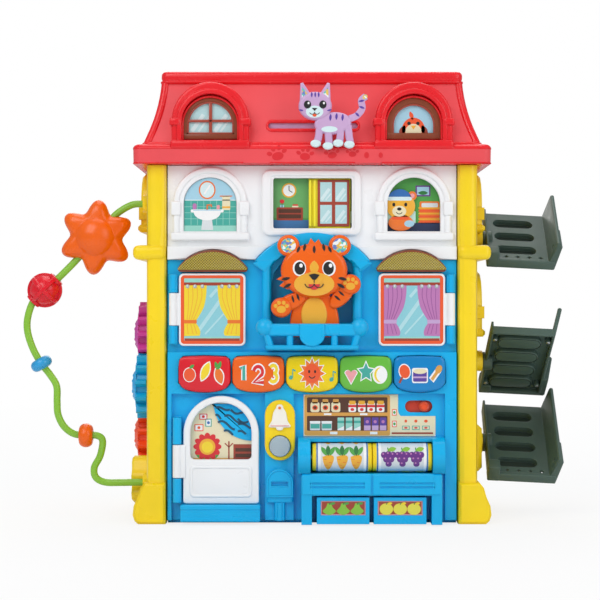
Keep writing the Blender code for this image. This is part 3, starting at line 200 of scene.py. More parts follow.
def amberLens(name):
    # Tinted polycarbonate with a pressed diamond mesh, 1.9 mm across
    made, tree, shader, place = startFinish(name, 1.58)
    slanted = addNode(tree, "ShaderNodeMapping", {"Rotation": (0, math.radians(45), 0)}, {"Vector": place})
    apart = addNode(tree, "ShaderNodeSeparateXYZ", {}, {"Vector": slanted.outputs["Vector"]})
    waves = []
    for axis in ("X", "Z"):
        scaled = addNode(tree, "ShaderNodeMath", {"operation": "MULTIPLY", 1: math.tau / (1.9 * mm)},
                         {0: apart.outputs[axis]})
        waves.append(addNode(tree, "ShaderNodeMath", {"operation": "COSINE"}, {0: scaled.outputs[0]}))
    mesh = addNode(tree, "ShaderNodeMath", {"operation": "MAXIMUM"},
                   {0: waves[0].outputs[0], 1: waves[1].outputs[0]})
    tint = addNode(tree, "ShaderNodeValToRGB",
                   {"stops": ((0.25, linearColour("6E5A0C")), (0.9, linearColour("BDA823")))},
                   {"Fac": mesh.outputs[0]})
    tree.links.new(tint.outputs["Color"], shader.inputs["Base Color"])
    bump = addNode(tree, "ShaderNodeBump", {"Strength": 0.5, "Distance": 0.0006},
                   {"Height": mesh.outputs[0]})
    tree.links.new(bump.outputs["Normal"], shader.inputs["Normal"])
    shader.inputs["Roughness"].default_value = 0.2
    shader.inputs["Coat Weight"].default_value = 0.3
    return made


inks = {
    "white": "F8F9F9", "black": "191A1C", "cream": "EDE3BF", "tan": "DFA24C", "brown": "55301F",
    "redBrown": "A5402C", "teal": "45ADA0", "paleTeal": "9AD9CB", "sky": "A6D4E8", "glass": "B9E0E4",
    "shine": "D8EFF2", "grey": "A9B4B8", "paleGrey": "DDE3E6", "red": "DD2731", "coral": "F15A2B",
    "orange": "F07A2A", "amber": "F2B233", "yellow": "F7D92F", "lemon": "E9DF4B", "lime": "8CC63F",
    "leaf": "4FA64A", "forest": "2B7A3D", "blue": "2F6FB5", "navy": "27365C", "purple": "5B3FA0",
    "plum": "6A2F86", "lilac": "C9A9D6", "orchid": "C17CB8", "orchidDark": "9C5A9A", "pink": "F0A3A8",
    "mint": "BFE6DC", "wallGreen": "6DB36A", "floorBlue": "3E78B0", "pane": "8FD0DC", "paneShine": "B4E0E8",
    "paw": "E0202B", "wave": "0F4E6E",
}


def printedVinyl(ink):
    # Screen-printed gloss vinyl: ink dots of 0.15 mm, drawn at 0.8 mm, under a clear coat
    name = "printedVinyl" + ink[0].upper() + ink[1:]
    if name in bpy.data.materials:
        return bpy.data.materials[name]
    made, tree, shader, place = startFinish(name, 1.5)
    dots = addNode(tree, "ShaderNodeTexVoronoi", {"Scale": 1250.0}, {"Vector": place})
    tint = addNode(tree, "ShaderNodeValToRGB",
                   {"stops": ((0.1, linearColour(inks[ink], 0.94)), (0.6, linearColour(inks[ink])))},
                   {"Fac": dots.outputs["Distance"]})
    tree.links.new(tint.outputs["Color"], shader.inputs["Base Color"])
    shader.inputs["Roughness"].default_value = 0.34
    shader.inputs["Coat Weight"].default_value = 0.25
    return made


def mosaicVinyl(name):
    # Printed flecks of 2 to 3 mm in mixed cool colours
    made, tree, shader, place = startFinish(name, 1.5)
    cells = addNode(tree, "ShaderNodeTexVoronoi", {"Scale": 1000 / 2.6}, {"Vector": place})
    pick = addNode(tree, "ShaderNodeSeparateXYZ", {}, {"Vector": cells.outputs["Color"]})
    tint = addNode(tree, "ShaderNodeValToRGB",
                   {"steps": "CONSTANT",
                    "stops": ((0.0, linearColour("F2F5F5")), (0.3, linearColour("5FC6BE")),
                              (0.55, linearColour("6E86C9")), (0.8, linearColour("E8C25A")))},
                   {"Fac": pick.outputs["X"]})
    tree.links.new(tint.outputs["Color"], shader.inputs["Base Color"])
    shader.inputs["Roughness"].default_value = 0.35
    return made


finish = {
    "blue": mouldedAbs("mouldedAbsSkyBlue", "00B7F2"),
    "white": mouldedAbs("mouldedAbsWhite", "F4F6F8", deep=0.97),
    "yellow": mouldedAbs("mouldedAbsYellow", "FFDD1A"),
    # Lighter copy of the house yellow for the recessed sliding window: painted light against the shade of its
    # recess
    "slider": mouldedAbs("mouldedAbsYellowPaintedLight", "FFF238"),
    "red": mouldedAbs("mouldedAbsRed", "EC1C26", (0.2, 0.3)),
    "roofSkin": sparkedAbs("sparkedAbsRed", "F04E55"),
    "orange": mouldedAbs("mouldedAbsOrange", "F66608", (0.2, 0.3)),
    "beadRed": mouldedAbs("mouldedAbsCrimson", "E01428", (0.18, 0.28)),
    "beadBlue": mouldedAbs("mouldedAbsAzure", "2E9FDB", (0.18, 0.28)),
    "lilac": mouldedAbs("mouldedAbsLilac", "CCA9D3"),
    "brown": mouldedAbs("mouldedAbsChestnut", "8A4326"),
    "grey": mouldedAbs("mouldedAbsGrey", "B6C8D2"),
    "ramp": mouldedAbs("sparkedAbsGreyGreen", "495F57", (0.36, 0.46), 1.2, 0.12),
    # Pocket floor finish: a matt skin whose darker grey is painted shade for the deep pockets
    "rampFloorPaintedShade": mouldedAbs("sparkedAbsGreyPaintedShade", "26352F", (0.5, 0.6), 0.9, 0.2),
    "purple": mouldedAbs("mouldedAbsPurple", "D243B0"),
    "gearBlue": mouldedAbs("mouldedAbsGearBlue", "10AEF2"),
    "gearRed": mouldedAbs("mouldedAbsRedOrange", "FF5424"),
    "wire": mouldedAbs("vinylCoatedWire", "8CC63F", (0.22, 0.3)),
    "switch": mouldedAbs("mouldedAbsSwitchOrange", "F0562A"),
    "track": mouldedAbs("mouldedAbsTrackRed", "D9412A"),
    "silicone": mouldedAbs("mouldedSilicone", "8C8F92", (0.6, 0.75)),
    "cells": mouldedAbs("shrunkCellWrap", "3A3D40"),
    "speaker": mouldedAbs("coatedPaperCone", "26282A", (0.55, 0.7)),
    "board": mouldedAbs("solderMaskedBoard", "1E6B3A", (0.35, 0.5)),
    "milky": mouldedAbs("milkyPolycarbonate", "FBF7EC", (0.16, 0.24), deep=0.98),
    "epoxy": mouldedAbs("lampEpoxy", "F4F1E0", (0.12, 0.2)),
    "steel": zincSteel("zincPlatedSteel"),
    "amber": amberLens("tintedPolycarbonate"),
    "mosaic": mosaicVinyl("printedVinylFlecks"),
}
buttonColours = {"red": "E4202F", "orange": "F4691E", "yellow": "F8D90F", "green": "6CC045",
                 "blue": "0A88CE"}
for colourName, colourHex in buttonColours.items():
    finish["button" + colourName.capitalize()] = mouldedAbs("mouldedAbsButton" + colourName.capitalize(),
                                                            colourHex,
                                                            (0.14, 0.22))
print("finishes done")


# Shapes: each helper returns a mesh in metres, from sizes in millimetres

def spot(axis, u, v, along):
    if axis == "Y":
        return Vector((u, along, v)) * mm
    if axis == "X":
        return Vector((along, u, v)) * mm
    return Vector((u, v, along)) * mm


def asMesh(shape):
    bmesh.ops.remove_doubles(shape, verts=shape.verts, dist=1e-6)
    bmesh.ops.recalc_face_normals(shape, faces=shape.faces)
    mesh = bpy.data.meshes.new("shape")
    shape.to_mesh(mesh)
    shape.free()
    return mesh


def roundOff(shape, edges, edge, segments):
    bmesh.ops.bevel(shape, geom=edges, offset=edge * mm, segments=segments, profile=0.5, affect="EDGES",
                    clamp_overlap=True, material=-1)


def slab(outline, front, back, edge=0.0, segments=3, axis="Y"):
    # Outline extruded from front to back, with its front rim rounded
    shape = bmesh.new()
    corners = [shape.verts.new(spot(axis, u, v, front)) for u, v in outline]
    near = shape.faces.new(corners)
    far = bmesh.ops.extrude_face_region(shape, geom=[near])
    moved = [item for item in far["geom"] if isinstance(item, bmesh.types.BMVert)]
    bmesh.ops.translate(shape, verts=moved, vec=spot(axis, 0, 0, back - front))
    if edge:
        roundOff(shape, [e for e in shape.edges if all(v in corners for v in e.verts)], edge, segments)
    return asMesh(shape)


def block(x0, x1, y0, y1, z0, z1, edge=0.0, segments=3):
    shape = bmesh.new()
    bmesh.ops.create_cube(shape, size=1.0)
    bmesh.ops.scale(shape, verts=shape.verts, vec=Vector((x1 - x0, y1 - y0, z1 - z0)) * mm)
    bmesh.ops.translate(shape, verts=shape.verts, vec=Vector((x0 + x1, y0 + y1, z0 + z1)) * mm / 2)
    if edge:
        roundOff(shape, shape.edges[:], edge, segments)
    return asMesh(shape)


def turned(centre, way, profile, sides=40):
    # Profile of (radius, along) spun about the way from a centre
    way = Vector(way).normalized()
    spare = way.orthogonal().normalized()
    shape = bmesh.new()
    line = [shape.verts.new((Vector(centre) + spare * r + way * a) * mm) for r, a in profile]
    edges = [shape.edges.new(pair) for pair in zip(line, line[1:])]
    bmesh.ops.spin(shape, geom=line + edges, cent=Vector(centre) * mm, axis=way, angle=math.tau,
                   steps=sides,
                   use_merge=True, use_duplicate=False)
    return asMesh(shape)


def rod(centre, way, radius, length, edge=0.5, sides=28):
    # Round bar about its middle with rounded ends
    half = length / 2
    return turned(centre, way, [(0, -half), (radius - edge, -half), (radius, -half + edge),
                                (radius, half - edge),
                                (radius - edge, half), (0, half)], sides)


def ball(centre, radii, sides=32, rings=20):
    shape = bmesh.new()
    bmesh.ops.create_uvsphere(shape, u_segments=sides, v_segments=rings, radius=1.0)
    bmesh.ops.scale(shape, verts=shape.verts, vec=Vector(radii) * mm)
    bmesh.ops.translate(shape, verts=shape.verts, vec=Vector(centre) * mm)
    return asMesh(shape)


def loft(rings, closed=False):
    # Skin over rings with as many points each, capped at both ends or joined end to end
    shape = bmesh.new()
    loops = [[shape.verts.new(Vector(p) * mm) for p in ring] for ring in rings]
    pairs = list(zip(loops, loops[1:]))
    if closed:
        pairs.append((loops[-1], loops[0]))
    else:
        shape.faces.new(loops[0])
        shape.faces.new(loops[-1])
    for lower, upper in pairs:
        for i in range(len(lower)):
            shape.faces.new((lower[i - 1], lower[i], upper[i], upper[i - 1]))
    return asMesh(shape)


def framed(outer, inner, front, back, edge=1.5, steps=4, axis="Y"):
    # Ring between two outlines with as many points each, both of its front rims rounded
    way = 1 if back > front else -1
    turns = [math.pi / 2 * i / steps for i in range(steps + 1)]
    rim = [(edge * (1 - math.cos(a)), front + way * edge * (1 - math.sin(a))) for a in turns]
    rings = []
    for start, end, line in ((outer, inner, [(0, back)] + rim), (inner, outer, rim[::-1] + [(0, back)])):
        for inset, along in line:
            ring = []
            for a, b in zip(start, end):
                share = inset / max(edge, math.dist(a, b))
                ring.append(spot(axis, a[0] + (b[0] - a[0]) * share, a[1] + (b[1] - a[1]) * share,
                                 along) / mm)
            rings.append(ring)
    return loft(rings, True)


def pierced(outline, holes, front, back, axis="Y"):
    # Flat plate with holes
    shape = bmesh.new()
    edges = []
    for line in (outline, *holes):
        corners = [shape.verts.new(spot(axis, u, v, front)) for u, v in line]
        edges += [shape.edges.new((a, b)) for a, b in zip(corners, corners[1:] + corners[:1])]
    filled = bmesh.ops.triangle_fill(shape, edges=edges, use_beauty=True)
    faces = [item for item in filled["geom"] if isinstance(item, bmesh.types.BMFace)]
    far = bmesh.ops.extrude_face_region(shape, geom=faces, use_keep_orig=True)
    moved = [item for item in far["geom"] if isinstance(item, bmesh.types.BMVert)]
    bmesh.ops.translate(shape, verts=moved, vec=spot(axis, 0, 0, back - front))
    return asMesh(shape)


def carved(mesh, tool):
    # First shape less the second
    pair = [bpy.data.objects.new("carving", shape) for shape in (mesh, tool)]
    for holder in pair:
        bpy.context.scene.collection.objects.link(holder)
    cut = pair[0].modifiers.new("cut", "BOOLEAN")
    cut.operation = "DIFFERENCE"
    cut.solver = "EXACT"
    cut.object = pair[1]
    made = bpy.data.meshes.new_from_object(pair[0].evaluated_get(bpy.context.evaluated_depsgraph_get()))
    for holder, shape in zip(pair, (mesh, tool)):
        bpy.data.objects.remove(holder, do_unlink=True)
        bpy.data.meshes.remove(shape)
    return made


def nodeMesh(nodeName):
    # Copy of a CAD node's shape
    shape = bmesh.new()
    shape.from_mesh(nodes[nodeName].data)
    bmesh.ops.remove_doubles(shape, verts=shape.verts, dist=2e-6)
    bmesh.ops.dissolve_limit(shape, angle_limit=math.radians(0.4), verts=shape.verts, edges=shape.edges)
    made = bpy.data.meshes.new("copy")
    shape.to_mesh(made)
    shape.free()
    made.materials.clear()
    return made


def tube(points, radius, closed=False):
    # Round bar along points in mm
    line = bpy.data.curves.new("tube", "CURVE")
    line.dimensions = "3D"
    line.bevel_depth = radius * mm
    line.bevel_resolution = 5
    line.use_fill_caps = not closed
    spline = line.splines.new("POLY")
    spline.points.add(len(points) - 1)
    for point, place in zip(spline.points, points):
        point.co = (*(Vector(place) * mm), 1.0)
    spline.use_cyclic_u = closed
    holder = bpy.data.objects.new("tube", line)
    bpy.context.scene.collection.objects.link(holder)
    mesh = bpy.data.meshes.new_from_object(holder)
    bpy.data.objects.remove(holder, do_unlink=True)
    return mesh


def smoothRoute(points, perSpan):
    # Catmull-Rom curve through points
    route = [points[0]] + list(points) + [points[-1]]
    curve = []
    for a, b, c, d in zip(route, route[1:], route[2:], route[3:]):
        for step in range(perSpan):
            t = step / perSpan
            curve.append(tuple(0.5 * (2 * q + (r - p) * t + (2 * p - 5 * q + 4 * r - s) * t * t
                                      + (3 * q - p - 3 * r + s) * t ** 3) for p, q, r,
                                      s in zip(a, b, c, d)))
    return curve + [points[-1]]


# Outlines, as lists of (u, v) in mm

def arc(centre, radius, start, end, steps):
    angles = [math.radians(start + (end - start) * i / steps) for i in range(steps + 1)]
    return [(centre[0] + radius * math.cos(a), centre[1] + radius * math.sin(a)) for a in angles]


def rounded(u0, u1, v0, v1, radius=1.0, steps=6):
    corners = (((u1 - radius, v1 - radius), 0), ((u0 + radius, v1 - radius), 90),
               ((u0 + radius, v0 + radius), 180), ((u1 - radius, v0 + radius), 270))
    return [p for centre, turn in corners for p in arc(centre, radius, turn, turn + 90, steps)]


def rect(u0, u1, v0, v1):
    return [(u0, v0), (u1, v0), (u1, v1), (u0, v1)]


def arched(middle, half, low, spring, steps=28):
    return [(middle - half, low), (middle + half, low)] + arc((middle, spring), half, 0, 180, steps)


def horseshoe(middle, half, inner, low, spring, steps=28):
    # Arch-shaped frame, open at its foot
    outside = [(middle + half, low)] + arc((middle, spring), half, 0, 180, steps) + [(middle - half, low)]
    inside = [(middle - inner, low)] + arc((middle, spring), inner, 180, 0, steps) + [(middle + inner, low)]
    return outside + inside


def oval(centre, halfU, halfV, tilt=0.0, steps=36):
    turn = math.radians(tilt)
    points = []
    for i in range(steps):
        a = math.tau * i / steps
        u, v = halfU * math.cos(a), halfV * math.sin(a)
        points.append((centre[0] + u * math.cos(turn) - v * math.sin(turn),
                       centre[1] + u * math.sin(turn) + v * math.cos(turn)))
    return points


def leafShape(centre, length, width, tilt, steps=10):
    # Pointed leaf
    points = []
    for side in (1, -1):
        for i in range(steps):
            t = i / steps if side > 0 else 1 - i / steps
            points.append(((t - 0.5) * length, side * width / 2 * math.sin(math.pi * t) ** 0.8))
    turn = math.radians(tilt)
    return [(centre[0] + u * math.cos(turn) - v * math.sin(turn),
             centre[1] + u * math.sin(turn) + v * math.cos(turn))
            for u, v in points]


def starShape(centre, outer, inner, points=5):
    return [(centre[0] + r * math.cos(a), centre[1] + r * math.sin(a)) for r, a in
            ((outer if i % 2 == 0 else inner, math.pi / 2 + math.pi * i / points)
             for i in range(2 * points))]


def stroke(points, width):
    # Line of even width with square ends
    left, right = [], []
    for i, point in enumerate(points):
        before, after = points[max(i - 1, 0)], points[min(i + 1, len(points) - 1)]
        along = Vector((after[0] - before[0], after[1] - before[1])).normalized()
        side = Vector((-along.y, along.x)) * width / 2
        left.append((point[0] + side.x, point[1] + side.y))
        right.append((point[0] - side.x, point[1] - side.y))
    return left + right[::-1]


def grown(outline, by):
    # Outline made larger about its middle
    u = sum(p[0] for p in outline) / len(outline)
    v = sum(p[1] for p in outline) / len(outline)
    reach = max(max(abs(p[0] - u), abs(p[1] - v)) for p in outline)
    share = (reach + by) / reach
    return [(u + (p[0] - u) * share, v + (p[1] - v) * share) for p in outline]


# Pieces: their parts are pairs of a mesh and its finish

def painted(paint, *meshes):
    return [(mesh, finish[paint]) for mesh in meshes]


def inked(ink, *meshes):
    return [(mesh, printedVinyl(ink)) for mesh in meshes]


def makePiece(name, body, parts, replaced=(), sharp=38.0, weighted=False):
    # One object from its parts; weighted keeps the large flats of a CAD copy flat
    whole = bmesh.new()
    finishes = []
    for mesh, paint in parts:
        if paint not in finishes:
            finishes.append(paint)
        index = finishes.index(paint)
        mesh.polygons.foreach_set("material_index", [index] * len(mesh.polygons))
        whole.from_mesh(mesh)
        bpy.data.meshes.remove(mesh)
    made = bpy.data.meshes.new(name)
    whole.to_mesh(made)
    whole.free()
    for paint in finishes:
        made.materials.append(paint)
    made.shade_smooth()
    made.set_sharp_from_angle(angle=math.radians(sharp))
    piece = bpy.data.objects.new(name, made)
    bpy.context.scene.collection.objects.link(piece)
    if weighted:
        even = piece.modifiers.new("evenNormals", "WEIGHTED_NORMAL")
        even.keep_sharp = True
        even.weight = 60
    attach(piece, body)
    if replaced:
        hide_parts(*replaced)
    return piece


# Faces that the printed cards lie on, along Y
card = {"washroom": -94.5, "rooms": -87.5, "garden": -94.6, "hall": -97.4, "shelf": -96.2, "crates": -115.8}


def printed(shapes, front, lift=0.12):
    # Flat printed shapes of (layer, outline, ink) standing a hair proud of a face
    parts = []
    for layer, outline, ink in shapes:
        paint = finish["mosaic"] if ink == "flecks" else printedVinyl(ink)
        parts.append((slab(outline, front - lift * (layer + 1), front + 0.05), paint))
    return parts


def refinish(nodeName, paint):
    mesh = nodes[nodeName].data
    if not mesh.materials:
        mesh.materials.append(paint)
    for i in range(len(mesh.materials)):
        mesh.materials[i] = paint


for paintName, nodeNames in {
        "blue": ("base_plate", "battery_box"), "epoxy": ("lamp_board",), "silicone": ("button_pad",),
        "steel": ("window_pin_left", "window_pin_right", "door_pin", "roller_axle"),
        "cells": ("battery_cells",),
        "speaker": ("speaker",), "board": ("circuit_board",),
        "white": ("upper_picture_board", "window_picture_left", "window_picture_right", "door_picture",
                  "shelf_card")}.items():
    for nodeName in nodeNames:
        refinish(nodeName, finish[paintName])

for nodeName, name, slotName, paintName in (
        ("right_side_panel", "rightWall", "yellow_shell", "yellow"),
        ("back_panel", "backWall", "blue_shell", "blue"), ("battery_door", "batteryLid", "blue_shell",
                                                           "blue"),
        ("doorbell_plate", "bellPlate", "yellow_shell", "yellow")):
    makePiece(name, "house", painted(paintName, nodeMesh(nodeName)), [nodeName], 30, True)


# Left wall with its bush, upper and lower front, door

bush = {"x": -180.6, "flat": 5.2, "lobes": ((-42, 24, 8.2), (-43, 41, 8.0), (-36, 54, 8.0), (-20, 43, 7.2),
                                            (-6, 33, 7.2), (4, 22, 7.0), (-26, 26, 9))}


def makeLeftWall():
    lobes = [ball((bush["x"], y, z), (bush["flat"], r, r), 28, 18) for y, z, r in bush["lobes"]]
    makePiece("leftWall", "house", painted("yellow", nodeMesh("left_side_panel"), *lobes),
              ["left_side_panel"], 30, True)


hood = {"x": 0.5, "half": 56.3, "peak": 290.0, "low": 263.0, "thick": 15.0, "front": -106.2}
hood["radius"] = (hood["half"] ** 2
                  + (hood["peak"] - hood["low"]) ** 2) / (2 * (hood["peak"] - hood["low"]))
hood["z"] = hood["peak"] - hood["radius"]


def hoodArc(grow, low, steps=36):
    # Arc of the hood from right to left, down to a level
    radius = hood["radius"] + grow
    start = math.degrees(math.asin((low - hood["z"]) / radius))
    return arc((hood["x"], hood["z"]), radius, start, 180 - start, steps)


lens = {"x": 98.9, "half": 36.6, "low": 250.6, "high": 273.2, "corner": 3.4}


def lensOutline(side, grow):
    # Arc over a flat base; each lower corner is a small arc that runs into the large one
    x, half, corner = side * lens["x"], lens["half"] + grow, lens["corner"] + grow
    low, high = lens["low"] - grow, lens["high"] + grow
    rise = high - low - 2
    radius = (half ** 2 + rise ** 2) / (2 * rise)
    middle = high - radius
    away = math.sqrt((radius - corner) ** 2 - (low + corner - middle) ** 2)
    turn = math.degrees(math.atan2(low + corner - middle, away))
    return (arc((x + away, low + corner), corner, -90, turn, 8)
            + arc((x, middle), radius, turn, 180 - turn, 36)[1:-1]
            + arc((x - away, low + corner), corner, 180 - turn, 270, 8))


storey = {"low": 263.3, "high": 357.4, "half": 144.4, "ledge": 276.5, "back": -94.4, "archX": 101.8,
          "spring": 319.0}


def makeUpperFront():
    low, high, half, top, back = (storey[key] for key in ("low", "high", "half", "ledge", "back"))
    wall = [(-half, low)] + hoodArc(0.6, low)[::-1] + [(half, low), (half, high), (-half, high)]
    holes = [arched(side * storey["archX"], 26.5, 291.0, storey["spring"]) for side in (-1, 1)]
    meshes = [pierced(wall, holes + [rounded(-38.7, 39.7, 294.6, 344.7, 2)], -95.0, -92.0)]
    for side in (-1, 1):
        over = [p for p in lensOutline(side, 0.5) if p[1] > low + 0.2][::-1]
        step = [p for p in hoodArc(0.6, low, 60)
                if p[1] < top - 0.1 and (p[0] - hood["x"]) * side > 0][::-1]
        if side < 0:
            ledge = [(-half, low)] + over + step + [(step[-1][0] + 0.4, top), (-half, top)]
        else:
            ledge = [(half, top), (step[0][0] - 0.4, top)] + step + over + [(half, low)]
        x = side * storey["archX"]
        meshes += [slab(ledge, -100.0, back, 1.4, 4),
                   slab(horseshoe(x, 37.0, 30.6, 289, storey["spring"]), -99.2, back, 2.2, 5),
                   slab(horseshoe(x, 31.4, 26.4, 289, storey["spring"]), -97.6, -92.2, 1.0, 3),
                   block(x - 39.6, x + 39.6, -101.0, back, 282.4, 290.4, 2.2, 5),
                   block(x - 30, x + 30, -98.0, back, 288.6, 291.6, 0.9, 3)]
        meshes += [block(u - 5, u + 5, -100.5, back, 307.3, 321.5, 1.5, 4) for u in (x - 34.2, x + 34.2)]
    # Raised surround of the square window and the finer frame inside it
    meshes += [framed(rounded(-50.2, 49.2, 287.3, 352.7, 8, 8), rounded(-40.6, 41.6, 292.8, 346.6, 3, 8),
                      -99.2, back, 2.2),
               framed(rounded(-41.6, 42.6, 291.8, 347.6, 3.4, 8), rounded(-38.7, 39.7, 294.6, 344.7, 2, 8),
                      -97.8, -92.2, 0.9)]
    makePiece("upperFront", "house", painted("white", *meshes), ["front_upper_panel"])


porch = {"columnX": 45.2, "postX": 46.9, "hingeX": 138.4, "windowKnuckles": ((230.3, 248.4),
                                                                             (179.0, 197.2)),
         "doorKnuckles": ((79.6, 106.3), (21.6, 45.8))}
upward = (0, 0, 1)


def makeLowerFront():
    inner = hoodArc(-hood["thick"], hood["low"] - 1)
    outer = hoodArc(0.15, hood["low"] - 1.5)
    plaque = [(-12.4, 199.6), (-13, 190)] + arc((0, 190), 13.0, 205, 335, 24) + [(13, 190), (12.4, 199.6)]
    meshes = [nodeMesh("front_lower_panel"), slab(outer + inner[::-1], hood["front"], -94, 3.2, 6),
              block(-44.2, 44.2, -118.8, -109.2, 187.3, 199.7, 3.4, 6),
              block(-46.2, 46.2, -118.2, -94, 173.2, 178.4, 1.8, 5), slab(plaque, -120.8, -112, 2.2, 5)]
    collar = [(0, -3), (5.2, -3), (5.8, -2), (5.8, 1.4), (0, 2)]
    for side in (-1, 1):
        column, post, hinge = (side * porch[key] for key in ("columnX", "postX", "hingeX"))
        meshes += [rod((column, -99.5, 229), upward, 4.6, 66, 0.6, 32),
                   turned((column, -99.5, 259.5), upward, collar, 32),
                   ball((post, -113, 196), (8.95, 8.95, 8.95), 40, 26),
                   rod((post, -104, 196), (0, 1, 0), 4.4, 19),
                   tube([(side * 40.5, -114, 174.5), (side * 45.5, -114, 191)], 3.6),
                   rod((side * 22, -114, 182.5), upward, 3.4, 16)]
        for z0, z1 in porch["windowKnuckles"]:
            meshes.append(rod((hinge, -99.7, (z0 + z1) / 2), upward, 4.3, z1 - z0, 0.6))
            meshes += [block(x - 0.3, x + 0.3, -104.0, -102, z0 + 1, z1 - 1, 0.2, 2)
                       for x in (hinge - 1.9, hinge + 1.9)]
    meshes += [rod((-134.1, -106, (z0 + z1) / 2), upward, 4.35, z1 - z0, 0.6) for z0,
               z1 in porch["doorKnuckles"]]
    # Mailbox: arched front panel, lips over and under the slot, and a rib on its stand
    meshes += [framed(arched(-32, 13.4, 27, 41.5), arched(-32, 11.6, 28.4, 41.5), -108.5, -104, 0.7, 3),
               block(-40.6, -23.7, -108.8, -107, 42.6, 43.8, 0.5),
               block(-40.6, -23.7, -108.5, -107, 37.4, 38.4, 0.4),
               block(-34.6, -29.8, -106.2, -104, 3.5, 21.4, 0.8)]
    # Upright edges of the shop counter
    meshes += [block(x - 0.6, x + 0.6, -121.1, -119.6, 31, 50.4, 0.4) for x in (-0.6, 119.8)]
    # Door step: a tread over a plain riser
    meshes += [block(-130.8, -51.3, -113.8, -101.2, 14.9, 19.9, 1.3, 4),
               block(-130.6, -51.5, -113.3, -101.2, 3.3, 15.0, 1.0, 3)]
    makePiece("lowerFront", "house", painted("blue", *meshes), ["front_lower_panel"], 30,
              True)


door = {"x": -90.6, "front": -107.0, "back": -101.5, "hinge": (-134.1, -106.0), "web": (46.3, 79.1)}


def makeDoor():
    x, front = door["x"], door["front"]
    low, high = door["web"]
    opening = (arc((x, 90.5), 30.4, 0, 180, 28) + arc((-116.5, 68.9), 4.5, 180, 270, 6)
               + arc((-64.7, 68.9), 4.5, 270, 360, 6))
    outline = (arc((x + 0.1, 90), 37.5, 0, 180, 28) + arc((-125, 23.5), 3, 180, 270, 6)
               + arc((-56, 23.5), 3, 270, 360, 6))
    # Leaf with its window, a raised frame round the lower panel, then the knuckle and its web
    meshes = [framed(outline, opening, front, door["back"], 1.8, 5),
              framed(rounded(-121.4, -59.6, 27.0, 58.4, 4.5, 7), rounded(-118.4, -62.6, 30.0, 55.4, 3, 7),
                     front - 1.2, front + 0.6, 1.3, 5),
              slab(rounded(-119, -62, 29.4, 56, 3, 7), front - 0.5, front + 0.6, 0.5, 3),
              rod((*door["hinge"], (low + high) / 2), upward, 4.4, high - low, 0.6),
              block(door["hinge"][0], -125.6, -108.6, -103.2, low, high, 0.9, 4)]
    makePiece("doorLeaf", "door_leaf", painted("white", *meshes), ["door"])


# Zigzag ramps, built about their own middle and then set on the wall

ramp = {"width": 62.5, "pitch": 25.0, "slope": 35.0, "droop": 3.0, "inner": 183.0, "drop": 5.0,
        "trays": (("ramp_top", "rampTop", 291.0, 1, 3), ("ramp_middle", "rampMiddle", 164.0, -1, 4),
                  ("ramp_lower", "rampLower", 78.0, 1, 4)),
        "head": ((0, 0.7), (1.2, 0.6), (1.9, 0.1), (1.9, -0.4), (0, -0.4))}


def rampWall(base, top, radius, height, y0, y1, lean=12.0):
    # Leaning wall with a round top; the height is a pair where it falls towards the front
    near, far = height
    rings = []
    for y, level, less in ((y0, near, 0.7), (y0 + 0.7, near, 0.0), (y1 - 0.7, far, 0.0), (y1, far, 0.7)):
        foot = [(ramp["width"] + 0.3, -8.8 + less), (base - less, -8.8 + less)]
        cap = arc((top, level - radius), radius - less, -lean, 180 - lean, 10)
        rings.append([(u, y, v) for u, v in foot + cap + [(ramp["width"] + 1.2 + less, 0.2)]])
    return loft(rings)


def rampTray(slots):
    width, half = ramp["width"], (slots * ramp["pitch"] + 14) / 2
    starts = [half - 7 - ramp["pitch"] * (i + 1) + 3 for i in range(slots)]
    row = -half + 6.5
    holes = [rounded(10, 52, y + 2, y + 17, 7.3, 8) for y in starts]
    holes += [[(u - 2.8, row), (u, row - 2.2), (u + 2.8, row), (u, row + 2.2)] for u in (20, 32, 44, 56)]
    wall = carved(rampWall(width + 3, width + 8.9, 2.2, (23.6, 27.2), -half + 0.3, half),
                  rod((width + 4, -half + 9, 13), (1, 0, 0), 2.4, 14, 0.1, 20))
    meshes = [pierced(rounded(0.4, width + 2.6, -half + 0.4, half - 0.4, 2, 4), holes, 0.0, -2.5, "Z"),
              framed(rounded(0, width + 3, -half, half, 3, 4),
                     rounded(2.5, width + 0.5, -half + 2.5, half - 2.5, 1.2, 4),
                     -9, -0.4, 0.8, 3, "Z"),
              wall, rampWall(width + 8, width + 10.1, 2.9, (21.5, 21.9), -half - 0.2, -half + 30),
              block(0.2, 2.6, -half + 0.4, half - 0.4, -1.4, 6, 0.9),
              block(-0.3, 12, -half - 1.8, -half + 12, -9.2, 9, 1.4, 4),
              block(0.6, width + 7.6, -half - 1.5, -half + 3, -9.1, 0.6, 1.1, 4)]
    for y in starts:
        meshes += [framed(rounded(8, 54, y, y + 19, 9.2, 8), rounded(10.2, 51.8, y + 2.2, y + 16.8, 7.1, 8),
                          -8, -2.2, 1.4, 4, "Z"),
                   slab(rounded(9, 53, y + 1, y + 18, 8.4, 8), -8.0, -6.0, 1.2, 3, "Z")]
    # Pocket floors have a coarser, matt skin, and a darker grey that is painted shade for the deep pockets
    floors = [slab(rounded(10.4, 51.6, y + 2.4, y + 16.6, 7, 8), -6.0, -5.8, axis="Z") for y in starts]
    return meshes, floors, half


